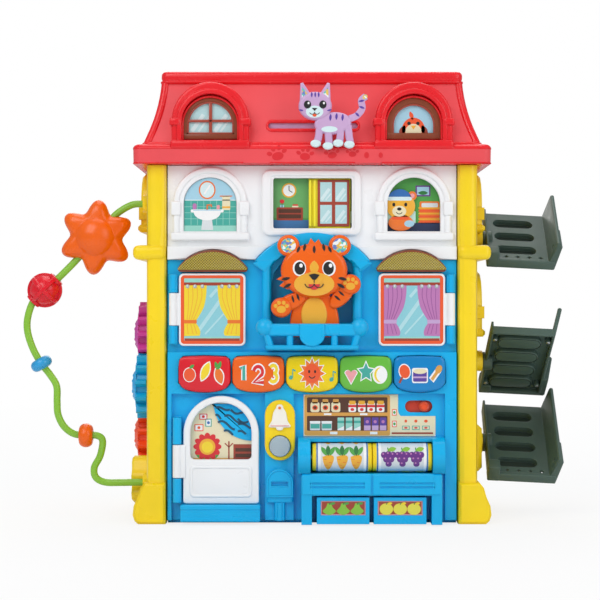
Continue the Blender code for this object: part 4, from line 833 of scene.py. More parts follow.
def makeRamps():
    for node, name, z, lean, slots in ramp["trays"]:
        meshes, floors, half = rampTray(slots)
        bosses = [(x, y) for x in (5.2, 60.2) for y in (-half + 17, half - 14)]
        meshes += [rod((x, y, -5.4), upward, 2.9, 6, 0.5, 20) for x, y in bosses]
        heads = [turned((x, y, -8.5), (0, 0, -1), ramp["head"], 18) for x, y in bosses]
        turn = (Matrix.Translation(Vector((ramp["inner"], 0, z)) * mm)
                @ Matrix.Rotation(math.radians(ramp["droop"]), 4, "Y")
                @ Matrix.Rotation(lean * math.radians(ramp["slope"]), 4, "X"))
        for mesh in meshes + floors + heads:
            if lean < 0:
                mesh.transform(Matrix.Diagonal((1, -1, 1, 1)))
                mesh.flip_normals()
            mesh.transform(turn)
        # Boss that holds the tray to the wall, and its core
        meshes += [rod((185, 0, z - ramp["drop"]), (1, 0, 0), 9.5, 10, 0.8, 36),
                   rod((170, 0, z - ramp["drop"]), (1, 0, 0), 5.5, 22, 0.5, 24)]
        # The pocket floors take the darker grey finish, painted shade for their depth
        parts = painted("ramp", *meshes) + painted("rampFloorPaintedShade", *floors) + painted("steel", *heads)
        makePiece(name, "house", parts, [node], 30)


makeLeftWall()
makeUpperFront()
makeLowerFront()
makeDoor()
makeRamps()
print("panels and ramps done")


# Roof

roof = {
    "eaveHalf": (178.0, 111.0), "eave": (358.0, 378.0), "topHalf": (150.0, 83.0), "capHalf": (152.0, 85.5),
    "flare": ((374.0, 18.6), (380.0, 16.2), (386.0, 13.8), (392.0, 11.4), (398.0, 9.2), (404.0, 7.2),
              (411.0, 5.2),
              (418.0, 3.5), (426.0, 1.9), (434.0, 0.7), (441.0, 0.0)),
    "cap": ((2.6, 440.2), (0.6, 440.6), (-0.6, 441.6), (-0.6, 443.0), (0.8, 443.9), (0.3, 446.0),
            (0.2, 449.2),
            (0.9, 451.2), (2.2, 452.5), (4.2, 453.0)),
    "corner": 7.0, "notches": ((-68.0, -42.0), (42.5, 69.0)), "slotZ": 397.4, "slotTilt": -19.0,
    "dormerX": 101.2, "dormerFront": -110.0, "dormerFace": -98.3,
    "paws": ((-34, 370, 10.6, 12), (-7, 369, 9.2, -4), (20, 370, 8.2, 8), (40, 370.5, 7, 0)),
    "toes": (-62, -20, 22, 64),
}


def roofHalf(z):
    flare = roof["flare"]
    for (z0, f0), (z1, f1) in zip(flare, flare[1:]):
        if z <= z1:
            return f0 + (f1 - f0) * max(0.0, z - z0) / (z1 - z0)
    return 0.0


def roofRing(z):
    halfX, halfY = (half + roofHalf(z) for half in roof["topHalf"])
    return [(x, y, z) for x, y in rounded(-halfX, halfX, -halfY, halfY, roof["corner"], 5)]


def band(halfX, halfY, steps, radius=8.0):
    return loft([[(x, y, z) for x, y in rounded(-halfX + i, halfX - i, -halfY + i, halfY - i, radius - i,
                                                6)]
                 for i, z in steps])


def dormerShell(x):
    front = roof["dormerFront"]
    return [slab(horseshoe(x, 38.5, 28.4, 380, 401.2), front + 2, -70, 2.6, 5),
            slab(horseshoe(x, 33.4, 28.2, 380, 399.6), front + 0.2, -90, 1.8, 4),
            slab(horseshoe(x, 28.6, 26.6, 382, 397.7), front + 5, -90, 1.2, 3),
            block(x - 39.8, x + 39.8, front - 3, -88, 372.6, 381.8, 3.2, 5),
            slab(arched(x, 37, 380, 401.2), roof["dormerFace"], -70),
            *(block(u - 5.2, u + 5.2, front - 0.6, -80, 396.6, 403.4, 1.6, 3)
              for u in (x - 35.2, x + 35.2))]


def makeRoof():
    low, high = roof["eave"]
    slot = slab(rounded(-44.0, 46.0, 394.7, 400.2, 2.7), -120, -83.0)
    skin = [carved(loft([roofRing(z) for z, _ in roof["flare"]]), slot),
            band(*roof["eaveHalf"], ((1.6, low + 0.2), (0.3, low + 0.6), (0.0, high - 5.5)))]
    # Polished lower bead, cut away at two clip notches
    lower = band(*roof["eaveHalf"], ((4.0, low), (0.8, low), (-0.2, low + 0.5), (-0.4, low + 1.1),
                                     (0.2, low + 1.9),
                                     (4.0, low + 2.1)))
    for x0, x1 in roof["notches"]:
        lower = carved(lower, block(x0, x1, -114, -109.2, low - 1, low + 3))
    upper = band(*roof["eaveHalf"], ((0.0, high - 5.5), (-0.5, high - 4.6), (0.0, high - 3.2),
                                     (1.2, high - 1.6),
                                     (3.2, high - 0.4), (5.2, high), (8.0, high)))
    # Hips: rounded ribs down the four corners
    hips = []
    for sideX in (-1, 1):
        for sideY in (-1, 1):
            halfX, halfY = roof["topHalf"]
            hips.append(tube([(sideX * (halfX + flare - 2.6), sideY * (halfY + flare - 2.6), z)
                              for z, flare in roof["flare"]], 4.2))
    # Bead where the slope meets the eave, on all sides
    bead = tube([(x, y, 378.6) for x, y in rounded(-168.2, 168.2, -101.2, 101.2, 8, 6)], 2.0, True)
    # Raised lip round the cat's slot, laid on the slope
    lip = framed(rounded(-47.0, 47.0, -6.6, 6.6, 6.0, 8), rounded(-44.6, 44.6, -3.4, 3.4, 3.2, 8), -1.2,
                 1.5, 0.9, 4)
    slope = -(roof["topHalf"][1] + roofHalf(roof["slotZ"]))
    lip.transform(Matrix.Translation(Vector((1.0, slope, roof["slotZ"])) * mm)
                  @ Matrix.Rotation(math.radians(roof["slotTilt"]), 4, "X"))
    polished = [lower, upper, *hips, bead, *dormerShell(-roof["dormerX"]), *dormerShell(roof["dormerX"]),
                lip]
    makePiece("roofMoulding", "house", painted("roofSkin", *skin) + painted("red", *polished),
              ["roof_shell"])
    makePiece("ridgeCap", "house", painted("red", band(*roof["capHalf"], roof["cap"])),
              ["roof_cap"])

    # Paw marks run along the eave and fade to dots
    marks = []
    for x, z, size, tilt in roof["paws"]:
        marks.append(oval((x, z - size * 0.42), size * 0.54, size * 0.38, tilt))
        for turn in roof["toes"]:
            a = math.radians(90 + turn + tilt)
            toe = (x + size * 0.8 * math.cos(a), z - size * 0.4 + size * 0.78 * math.sin(a))
            marks.append(oval(toe, size * 0.2, size * 0.26, turn + tilt))
    marks += [oval((x, 366.5), size, size * 1.3) for x, size in ((54, 2.4), (68, 2.1))]
    makePiece("pawPrints", "house",
              printed([(0, mark, "paw") for mark in marks], -roof["eaveHalf"][1], 0.1))


def dormerFrame(x, inner, sill):
    front = roof["dormerFace"]
    return painted("brown", slab(horseshoe(x, 28.2, inner, 383, 397.5), -102.4, front, 0.8, 2),
                   block(x - 28.2, x + 28.2, -102.8, front, 383, sill, 0.8, 2))


def makeDormerPictures():
    x, front = -roof["dormerX"], roof["dormerFace"]
    bars = inked("redBrown", block(x - 1.6, x + 1.6, -101.2, front, 387, 421, 0.4, 2),
                 block(x - 23, x + 23, -101.2, front, 400.2, 402.8, 0.4, 2),
                 slab(horseshoe(x, 23.6, 21.6, 388, 397.5), -101.4, front, 0.3, 2),
                 block(x - 23.6, x + 23.6, -101.4, front, 388, 390, 0.3, 2))
    glass = [(0, arched(x, 22, 389, 397.5), "glass")]
    glass += [(1, stroke([(x + a, 391), (x + a + 12, 408)], w), "shine")
              for a, w in ((-19, 4), (-12, 2), (4, 4), (10, 2))]
    makePiece("dormerWindow", "house", dormerFrame(x, 23.4, 388.4) + bars
              + printed(glass, front),
              ["dormer_window_left"])

    # A small bird looks out of the right one
    x = roof["dormerX"]
    rim = inked("redBrown", slab(horseshoe(x, 21.4, 19.6, 389, 397.2), -101.6, front, 0.3, 2))
    bird = [(0, arched(x, 20.5, 389, 397.2), "sky"), (1, oval((x, 393), 11.5, 12), "coral"),
            (2, oval((x, 390.8), 8, 8), "cream"), (1, leafShape((x - 2, 407), 9, 4, 110), "coral"),
            (3, [(x - 2.6, 397), (x + 2.6, 397), (x, 393)], "amber")]
    bird += [(3, oval((x + u, 399.2), 1.7, 1.7), "black") for u in (-4.4, 4.4)]
    bird += [(1, leafShape((x + u, 392), 12, 6, tilt), "redBrown") for u, tilt in ((-11, 65), (11, 115))]
    shown = [(layer, [(u, max(v, 389.4)) for u, v in outline], ink) for layer, outline, ink in bird]
    makePiece("dormerPicture", "house", dormerFrame(x, 21.0, 389.4) + rim
              + printed(shown, front),
              ["dormer_window_right"])


makeRoof()
makeDormerPictures()
print("roof done")


# Upper storey: pictures, sliding window, peeking figure and lamp lenses

def makeUpperPictures():
    # Washroom in the left arch
    x, z = -101.8, 319.0
    room = [(0, arched(x, 26.0, 291.6, z), "teal"),
            (1, arc((x, z), 26.0, 9, 171, 28), "sky"),
            (2, rect(x - 25.6, x + 25.6, 322.4, 323.4), "shine"),
            (1, rect(x - 26, x + 26, 291.6, 297.5), "paleTeal")]
    room += [(1, rect(x + i * 6.4 - 0.25, x + i * 6.4 + 0.25, 298, 322), "paleTeal") for i in range(-3, 4)]
    room += [(1, rect(x - 25.8, x + 25.8, v, v + 0.5), "paleTeal") for v in (304, 310, 316)]
    room += [(2, oval((x - 3, 333), 8.4, 9.2), "orange"), (3, oval((x - 3, 333), 7, 7.8), "shine"),
             (4, stroke([(x - 6, 329), (x, 338)], 1.6), "white"),
             (2, rounded(x + 12, x + 20, 313, 327, 1), "cream"),
             (3, rect(x + 12, x + 20, 315, 316.6), "amber"),
             (2, rect(x + 9.5, x + 22, 326.4, 327.4), "orange"),
             (3, [(x - 7.5, 306), (x + 1.5, 306), (x + 3, 293), (x - 9, 293)], "paleGrey"),
             (4, [(x - 3 + 13.5 * math.cos(a), 311 + 8.4 * math.sin(a))
                  for a in (math.pi * (1 + i / 16) for i in range(17))],
              "white"),
             (5, rounded(x - 19.5, x + 13.5, 310.6, 313.6, 1.4), "white"),
             (6, rounded(x - 17, x + 11, 312.4, 313.2, 0.4), "sky"),
             (5, stroke([(x - 3, 313), (x - 3, 318), (x + 1.2, 318), (x + 1.2, 316)], 1.5), "orange"),
             (5, rounded(x - 17.5, x - 13.7, 313.6, 319.5, 1.4), "orchid"),
             (5, rounded(x + 6.5, x + 9.6, 313.6, 318, 1.2), "pink")]
    makePiece("washroomPicture", "house", printed(room, card["washroom"]))

    # Sitting room behind the sliding window, bedroom behind the right arch
    room = [(0, rect(-42, 43, 292, 348), "wallGreen"), (1, rect(-42, 43, 292, 303.4), "floorBlue"),
            (1, rect(-42, 43, 303.4, 305), "leaf"),
            (2, rounded(-35.5, -9, 303, 316, 1), "redBrown"), (3, rounded(-33.6, -11, 305, 309, 0.6),
                                                               "brown"),
            (3, rounded(-33.6, -11, 310.4, 314.2, 0.6), "brown"),
            (2, oval((-23, 333), 7.4, 7.4), "amber"), (3, oval((-23, 333), 5.9, 5.9), "white"),
            (4, stroke([(-23, 333), (-23, 337.6)], 0.8), "black"),
            (4, stroke([(-23, 333), (-19.6, 331)], 0.8), "black"),
            (3, stroke([(-30, 316), (-30, 321)], 0.9), "forest"), (4, oval((-30, 322), 2.3, 2.1), "red"),
            (2, rounded(-32, -28, 316, 318.6, 0.8), "sky"), (3, rounded(-20, -13.5, 316, 317.6, 0.4),
                                                             "cream"),
            (3, rounded(-19.4, -14, 317.6, 319, 0.4), "red"),
            (2, rounded(8, 30, 322, 338, 1), "cream"), (3, rect(10, 28, 324, 336), "sky"),
            (4, rect(10, 28, 324, 328), "lime"), (2, rounded(4, 34, 303, 312, 2), "orange"),
            (2, rounded(4, 8, 303, 317, 1.6), "coral"), (2, rounded(30, 34, 303, 317, 1.6), "coral")]
    bedroom = [(0, arched(101.8, 27.5, 290.6, 319), "leaf"), (1, rect(74.6, 129, 290.6, 300.6), "navy"),
               (1, rounded(104, 119, 327, 338, 0.6), "plum"), (2, rect(105.4, 117.6, 328.4, 336.6), "sky"),
               (3, leafShape((111.5, 330.5), 10, 4, 0), "forest"),
               (1, rounded(108, 128, 300, 322, 1.4), "orange"),
               (2, rounded(110, 126.5, 316, 320.4, 1), "paleGrey")]
    bedroom += [(3, rect(107, 128.4, v, v + 1.5), "amber" if i % 2 else "coral")
                for i, v in enumerate((300.6, 303.4, 306.2, 309, 311.8, 314.6))]
    makePiece("roomPictures", "house", printed(room + bedroom, card["rooms"]))


slider = {"face": -92.7, "panesX": ((8.2, 19.9), (23.3, 35)), "panesZ": ((299.4, 318.2), (321.4, 341)),
          "head": (89.0, 317.0), "cardFace": -91.3, "cardBack": -88.4}


def makeSlidingWindow():
    # The leaf's lighter yellow is painted light against the shade of its recess
    leaf = painted("slider", block(-3.3, 38.5, -91.7, -89.8, 292.5, 346.8, 0.3, 2),
                   block(-3.1, -0.7, -95.3, -91, 296.5, 343, 0.8),
                   block(1.4, 3.8, -94.6, -91, 296.5, 343, 0.8))
    bars = inked("redBrown", slab(rounded(5.6, 37.6, 296.6, 343.6, 0.8), slider["face"], -91, 0.4, 2))
    panes = []
    for x0, x1 in slider["panesX"]:
        for z0, z1 in slider["panesZ"]:
            panes += [(0, rounded(x0, x1, z0, z1, 0.4), "glass"),
                      (1, stroke([(x0 + 1.2, z0 + 2), (x1 - 2.5, z0 + 13)], 3.2), "shine"),
                      (1, stroke([(x0 + 5.5, z0 + 1.6), (x1 - 1, z0 + 8)], 1.4), "shine")]
    makePiece("slidingWindow", "window_slider",
              leaf + bars + printed(panes, slider["face"], 0.1),
              ["sliding_window"])

    # A bear cub in a blue cap peeks from the right arch
    x, z = slider["head"]
    face, back = slider["cardFace"], slider["cardBack"]
    strip = (inked("mint", block(26, 104, -89.5, back, 300, 312, 0.3, 2))
             + inked("amber", slab(oval((x, z), 14.5, 13.2), face, back, 0.5, 2))
             + inked("orange", slab(oval((x, 300.6), 12.4, 8.4), face, back, 0.5, 2),
                     slab(oval((x + 11.5, z + 10.4), 4.6, 4.6), face + 0.4, back - 0.2, 0.4, 2)))
    shapes = [(0, oval((x + 11.5, z + 10.4), 2.4, 2.4), "pink"),
              (0, arc((x - 1, z + 4.5), 12.6, 20, 172, 20), "blue"),
              (1, rounded(x - 13.6, x + 11, z + 5.6, z + 9.4, 1.8), "shine"),
              (0, oval((x - 1.5, z - 5), 7, 5.4), "cream"), (1, oval((x - 1.5, z - 2.8), 2.3, 1.6),
                                                             "black"),
              (1, stroke(arc((x - 1.5, z - 4.6), 3.2, 205, 335, 10), 0.7), "black"),
              (1, oval((x - 7, z + 1.6), 1.5, 1.9), "black"), (1, oval((x + 5, z + 1.6), 1.5, 1.9),
                                                               "black"),
              (0, rounded(x - 9, x + 8, 303.6, 306.4, 1.2), "coral"),
              (0, oval((x + 8.5, 299.5), 5, 3.4), "sky")]
    makePiece("peekingCub", "window_slider", strip + printed(shapes, face, 0.1),
              ["peek_card"])


def makeLenses():
    for side, name in ((-1, "left"), (1, "right")):
        parts = (painted("brown", slab(lensOutline(side, -0.4), -104.4, -95.8, 1.6, 4))
                 + painted("amber", slab(lensOutline(side, -2.3), -106.0, -98, 3.0, 6)))
        makePiece("lampLens" + name.capitalize(), "house", parts, ["light_lens_" + name])


makeUpperPictures()
makeSlidingWindow()
makeLenses()
print("upper storey done")


# Hinged windows with printed curtains

window = {"low": 66.3, "high": 132.8, "foot": 177.2, "top": 249.6, "hingeX": 138.4, "hingeY": -99.7,
          "face": -101.6, "web": (197.6, 229.9)}


def curtain(x, flip, cloth, fold, tie):
    # One drawn-back curtain; x is its outer edge and flip the way it hangs from there
    def line(points):
        return [(x + flip * u, v) for u, v in points]
    drop = smoothRoute([(22.4, 237.6), (22.0, 228), (19.6, 216), (14.5, 206.5), (11.8, 202.5)], 5)
    flare = smoothRoute([(11.8, 200.0), (14.5, 196), (16.2, 191), (15.4, 187.4)], 5)
    shapes = [(3, line([(0, 237.6)] + drop + [(0, 202.5)]), cloth),
              (3, line([(0, 200.4)] + flare + [(0, 187)]), cloth)]
    for start, end in ((4, 3), (8.4, 5), (12.8, 7.2), (17.2, 9.4)):
        bend = smoothRoute([(start, 236), (start + 0.4, 226), ((start + end) / 2 + 0.6, 214), (end, 204)],
                           4)
        shapes.append((4, line(stroke(bend, 0.7)), fold))
    for start, end in ((3, 4), (6.5, 9), (9.6, 12.8)):
        shapes.append((4, line(stroke(smoothRoute([(start, 199), ((start + end) / 2, 194), (end, 189)], 4),
                                      0.7)), fold))
    shapes.append((5, line(rounded(-0.2, 12.6, 199.6, 203.2, 0.8)), tie))
    for u in (3.4, 10.8, 18.2):
        shapes.append((6, line(oval((u, 236.6), 1.9, 2.0, steps=18)), "grey"))
        shapes.append((7, line(oval((u - 0.4, 237.1), 0.9, 1.0, steps=12)), "paleGrey"))
    return shapes


def makeWindowLeaf(side, name, body, node, cloth, fold, tie):
    x0, x1 = sorted((side * window["low"], side * window["high"]))
    foot, top = window["foot"], window["top"]
    hinge = (side * window["hingeX"], window["hingeY"])
    low, high = window["web"]
    web = sorted((hinge[0] - side * 2.5, side * (window["high"] - 1)))
    parts = painted("white", slab(rounded(x0, x1, foot, top, 5), window["face"], -96.6, 1.2, 4),
                    rod((*hinge, (low + high) / 2), upward, 4.2, high - low),
                    block(*web, -101.2, -97, low, high, 0.5))
    edge = x0 + 5.4, x1 - 5.4
    shapes = [(0, rounded(x0 + 2.0, x1 - 2.0, foot + 2.0, top - 2.0, 3.6), "coral"),
              (1, rounded(*edge, foot + 5.2, top - 5.0, 0.8), "pane"),
              (2, rect(*edge, 240.6, top - 5.4), "paleTeal"), (2, rect(*edge, 237.4, 240.5), "redBrown"),
              (2, rect(edge[0] + 0.4, edge[1] - 0.4, foot + 5.2, foot + 7.6), "redBrown"),
              (2, rect(*edge, foot + 7.6, foot + 9.0), "paleTeal")]
    middle = (x0 + x1) / 2
    for start, end, width in (((-13, 193), (9, 224), 3.6), ((-7, 189), (14, 212), 1.6),
                              ((-2, 226), (5, 234), 3.0)):
        shapes.append((2, stroke([(middle + start[0], start[1]), (middle + end[0], end[1])], width),
                       "paneShine"))
    for flip, x in ((1, edge[0]), (-1, edge[1])):
        shapes += curtain(x, flip, cloth, fold, tie)
    makePiece(name, body, parts + printed(shapes, window["face"], 0.07), [node])


makeWindowLeaf(-1, "leftWindow", "window_leaf_left", "window_left", "yellow", "amber", "orange")
makeWindowLeaf(1, "rightWindow", "window_leaf_right", "window_right", "orchid", "orchidDark", "lilac")

for side in (-1, 1):
    x0, x1 = sorted((side * 73, side * 126))
    middle = (x0 + x1) / 2
    garden = [(0, rect(x0, x1, 183.8, 243.2), "sky"), (1, rect(x0, x1, 183.8, 202), "lime"),
            (2, oval((middle - 12, 208), 9, 10), "leaf"), (2, rect(middle - 13, middle - 11, 196, 204),
                                                           "brown"),
            (2, oval((middle + 13, 230), 6, 6), "yellow")]
    makePiece("gardenLeft" if side < 0 else "gardenRight", "house",
              printed(garden, card["garden"], 0.08))
print("hinged windows done")


# Door picture, bell and mailbox side

def heldIn(outline, centre, radius):
    # Points above the spring line pulled inside the arch
    kept = []
    for u, v in outline:
        away = math.hypot(u - centre[0], v - centre[1])
        if v > centre[1] and away > radius:
            u, v = centre[0] + (u - centre[0]) * radius / away, centre[1] + (v - centre[1]) * radius / away
        kept.append((min(max(u, centre[0] - radius), centre[0] + radius), v))
    return kept


def makeDoorPicture():
    spring = (-90.6, 89.5)
    shapes = [(0, arched(-90.6, 31, 63, 89.5), "cream"),
              (1, rect(-121.4, -59.8, 63.0, 65.2), "tan"),
              (2, rounded(-78.5, -60, 64, 79, 0.6), "redBrown"), (3, rect(-76.5, -60, 66, 69.6), "brown"),
              (3, rect(-76.5, -60, 71.6, 75.2), "brown"),
              (2, stroke([(-83, 64), (-83, 82)], 1.4), "redBrown"),
              (2, stroke([(-87, 80), (-83, 76), (-79, 80)], 1.2), "redBrown")]
    # Notes pinned on the wall, and a potted flower
    for x, z, w, h, ink in ((-117.4, 92, 9, 7, "coral"), (-106.6, 96.5, 6.4, 8, "teal"),
                            (-112.5, 103.5, 8, 6, "red")):
        shapes += [(1, rounded(x, x + w, z, z + h, 0.4), ink),
                   (2, rect(x + 0.9, x + w - 0.9, z + 0.9, z + h - 0.9), "white"),
                   (3, oval((x + w / 2, z + h / 2), 1.5, 1.5, steps=14), "blue" if ink == "teal" else ink)]
    middle = (-104.5, 76.5)
    shapes += [(2, stroke([(-104.5, 64), (-104.5, 72)], 1.6), "leaf"),
               (2, leafShape((-111.5, 67), 12, 4.6, 150), "leaf"),
               (2, leafShape((-97.5, 67), 12, 4.6, 30), "leaf")]
    shapes += [(3 + i % 2, oval((middle[0] + 9.4 * math.cos(a), middle[1] + 9.4 * math.sin(a)), 4.6, 3.0,
                                math.degrees(a)),
                "red") for i, a in enumerate(math.tau * k / 12 for k in range(12))]
    shapes += [(5, oval(middle, 8.0, 8.0), "amber"), (6, oval((middle[0], middle[1] - 0.4), 5.6, 5.6),
                                                      "yellow")]
    makePiece("hallPicture", "house", printed(shapes, card["hall"], 0.08))

    # Speaker grille: blue quarter panel whose wavy sound slots are dark ink strips, painted shade where the
    # openings are
    panel = heldIn([(-98.4, 121)] + arc((-59.4, 121.6), 39, 180, 268, 30) + arc(spring, 30.8, -12, 74, 24),
                   spring, 30.8)
    parts = painted("blue", slab(panel, -98.6, -97.2, 0.3, 2))
    for start, end, z, rise, turns in ((-96, -82, 115.5, 0.9, 1.0), (-96.5, -91, 108, 1.4, 0.6),
                                       (-87.5, -71, 107, 2.2, 0.9),
                                       (-94, -77, 101, 2.4, 0.8), (-88, -79, 92.5, 2.0, 0.5),
                                       (-74, -61, 99, 1.6, 0.6),
                                       (-81, -68, 113.6, -2.2, 0.7), (-74, -63, 104.6, -2.0, 0.6),
                                       (-74, -66, 92, 1.4, 0.5)):
        wave = [(start + (end - start) * i / 12,
                 z + rise * math.sin(math.tau * turns * i / 12) - 0.35 * i * abs(rise) / 2)
                for i in range(13)]
        # Dark strip laid on the panel: painted shade in place of a slot opening
        parts += inked("wave", slab(stroke(heldIn(wave, spring, 29.4), 2.0), -98.75, -98.0))
    makePiece("speakerGrille", "house", parts, ["door_picture"])
    backing = slab(arched(-90.6, 31.1, 62.9, 89.5), -97.4, -91)
    board = block(-126, -56, -91.7, -90, 58, 124)
    makePiece("hallBacking", "house", inked("cream", backing, board))


bell = {"x": -32.2, "top": 119.4, "squash": 0.91, "disc": (-32.0, 77.7), "discRadius": 10.2, "ribs": 4,
        "ribPitch": 2.0,
        "half": ((0, 119.4), (2.0, 119.0), (3.4, 117.4), (3.6, 115.4), (5.0, 113.2), (6.4, 110.4),
                 (7.2, 106),
                 (7.9, 101.4), (9.6, 98.2), (10.9, 96.2), (10.9, 94.6), (9.8, 94.1), (3.8, 94.0),
                 (3.2, 92.0),
                 (1.6, 90.9), (0, 90.7))}


def makeBell():
    x, top = bell["x"], bell["top"]
    half = [(u, top - (top - v) * bell["squash"]) for u, v in bell["half"]]
    outline = [(x + u, v) for u, v in half] + [(x - u, v) for u, v in reversed(half[1:-1])]
    parts = (painted("milky", slab(outline[::-1], -107.5, -105.2, 1.1, 4))
             + inked("pink", slab(rounded(-41.4, -23.0, 97.6, 98.5, 0.4), -107.9, -107.2, 0.2, 2))
             + inked("orange", slab(oval((x, 115.8), 1.5, 1.4), -107.9, -107.2)))
    makePiece("bellLens", "house", parts, ["doorbell_lens"])

    # Push disc with fine ribs across its face
    x, z = bell["disc"]
    meshes = [rod((x, -106.7, z), (0, 1, 0), bell["discRadius"], 5.2, 0.6, 44),
              rod((x, -98.5, z), (0, 1, 0), 8.1, 13, 0.5, 32)]
    for i in range(-bell["ribs"], bell["ribs"] + 1):
        up = i * bell["ribPitch"]
        wide = math.sqrt((bell["discRadius"] - 0.6) ** 2 - up ** 2)
        meshes.append(block(x - wide, x + wide, -109.8, -109, z + up - 0.5, z + up + 0.5, 0.3, 2))
    makePiece("bellDisc", "bell_push", painted("grey", *meshes), ["doorbell_button"])


makeDoorPicture()
makeBell()
print("door and bell done")


# Shop: shelf card, switch, rollers and crate prints

def makeShelfCard():
    outline = ([(-8.4, 86.9), (121.6, 86.9), (123.4, 88.7), (123.4, 107)] + arc((94, 113), 8, 228, 180, 8)
               + [(86, 128.6), (-6.4, 128.6), (-8.4, 126.6)])
    shapes = [(0, outline, "cream"), (1, rounded(-7.6, 78, 87.6, 127.9, 2), "tan"),
              (2, rounded(-5.0, 75.4, 110.6, 125.8, 1), "brown"),
              (2, rounded(-5.0, 75.4, 92.4, 107.2, 1), "brown")]
    shapes += [(3, rect(x, x + 7.4, z0, z1), "white")
               for x, z0, z1 in ((12, 108, 109.8), (48, 108, 109.8), (18, 88.8, 91.4), (58, 88.8, 91.4))]
    for i in range(3):      # sacks
        x = -1.5 + i * 10.4
        shapes += [(3, rounded(x, x + 9.0, 111, 121, 2), "cream"),
                   (3, rounded(x + 1.6, x + 7.4, 119.6, 124, 0.8), "tan"),
                   (4, oval((x + 4.5, 115.4), 2.7, 2.5), "coral"),
                   (5, oval((x + 4.5, 115.4), 1.6, 1.4), "brown")]
    for i in range(4):      # jars
        x = 36.5 + i * 9.4
        shapes += [(3, rounded(x, x + 7.6, 111, 120.6, 1.6), "white"),
                   (4, rounded(x + 0.6, x + 7, 118.6, 122.4, 0.8), "amber"),
                   (4, rect(x, x + 7.6, 115.8, 118.2), "red"), (4, oval((x + 3.8, 113.6), 1.9, 1.5), "red")]
    for i in range(2):      # tubs
        x = -2 + i * 11.6
        shapes += [(3, rounded(x, x + 10.2, 92.8, 101.4, 1), "paleGrey"),
                   (4, rect(x + 0.5, x + 9.7, 94.6, 99.2), "teal"),
                   (4, rounded(x - 0.2, x + 10.4, 100.4, 102, 0.5), "white")]
    for i in range(3):      # cartons
        x = 25.5 + i * 8.2
        shapes += [(3, rounded(x, x + 6.6, 92.8, 105.6, 0.7), "paleTeal"),
                   (4, rect(x, x + 6.6, 100, 102.4), "teal"),
                   (4, [(x, 94), (x + 6.6, 97), (x + 6.6, 92.8), (x, 92.8)], "white")]
    for i in range(3):      # tall boxes
        x = 52 + i * 7.9
        shapes += [(3, rounded(x, x + 6.5, 92.8, 105.6, 0.7), "purple"),
                   (4, rect(x, x + 6.5, 92.8, 97.6), "lilac"),
                   (5, oval((x + 3.2, 101.4), 1.6, 1.6), "orchid")]
    for z in (96, 107.5):   # tags on the cream board
        shapes += [(1, rounded(80, 84.6, z, z + 6.4, 0.3), "coral"),
                   (2, rect(80.7, 83.9, z + 0.8, z + 5.6), "white"),
                   (3, oval((82.3, z + 3.2), 1.2, 1.5), "leaf")]
    for x in (90, 100, 110):
        shapes += [(1, rounded(x, x + 7.6, 93.2, 97.4, 0.3), "teal"),
                   (2, rect(x + 0.7, x + 6.9, 93.9, 96.7), "cream"),
                   (3, oval((x + 3.8, 95.3), 1.7, 0.9), "red"),
                   (1, oval((x + 3.8, 102), 1.3 + 0.25 * (x - 90) / 10, 1.5), "coral")]
    shapes.append((1, rect(79.6, 121, 89, 90.8), "redBrown"))
    makePiece("shelfPrint", "house", printed(shapes, card["shelf"], 0.07))


switch = {"x": 111.9, "z": 116.6,
          "knob": ((0, -99.6), (2.2, -99.5), (4.2, -98.8), (5.0, -97.6), (5.1, -91.4), (0, -91.4)),
          "ring": ((2.6, -99.8), (3.2, -100.0), (3.8, -99.4), (3.2, -99.0), (2.6, -99.8))}


def makeSwitch():
    knob, ring = (turned((switch["x"], 0, switch["z"]), (0, 1, 0), switch[key]) for key in ("knob", "ring"))
    track = block(86, 124, -91.6, -90, 107.5, 125.5, 0.3, 2)
    makePiece("switchKnob", "switch", painted("switch", knob, ring)
              + painted("track", track),
              ["switch_knob"])


roller = {"y": -104.5, "z": 66.8, "radius": 14.3, "rows": 3}


def wrapped(mesh):
    # Flat print (u along X, v along Z) bent round the roller
    shape = bmesh.new()
    shape.from_mesh(mesh)
    bpy.data.meshes.remove(mesh)
    for i in range(-18, 19):
        bmesh.ops.bisect_plane(shape, geom=shape.verts[:] + shape.edges[:] + shape.faces[:], dist=1e-7,
                               plane_co=(0, 0, i * 2.5 * mm), plane_no=(0, 0, 1))
    radius = roller["radius"] * mm
    for vert in shape.verts:
        angle = vert.co.z / radius
        reach = radius - vert.co.y
        vert.co.y = roller["y"] * mm - reach * math.cos(angle)
        vert.co.z = roller["z"] * mm + reach * math.sin(angle)
    bent = bpy.data.meshes.new("bent")
    shape.to_mesh(bent)
    shape.free()
    return bent


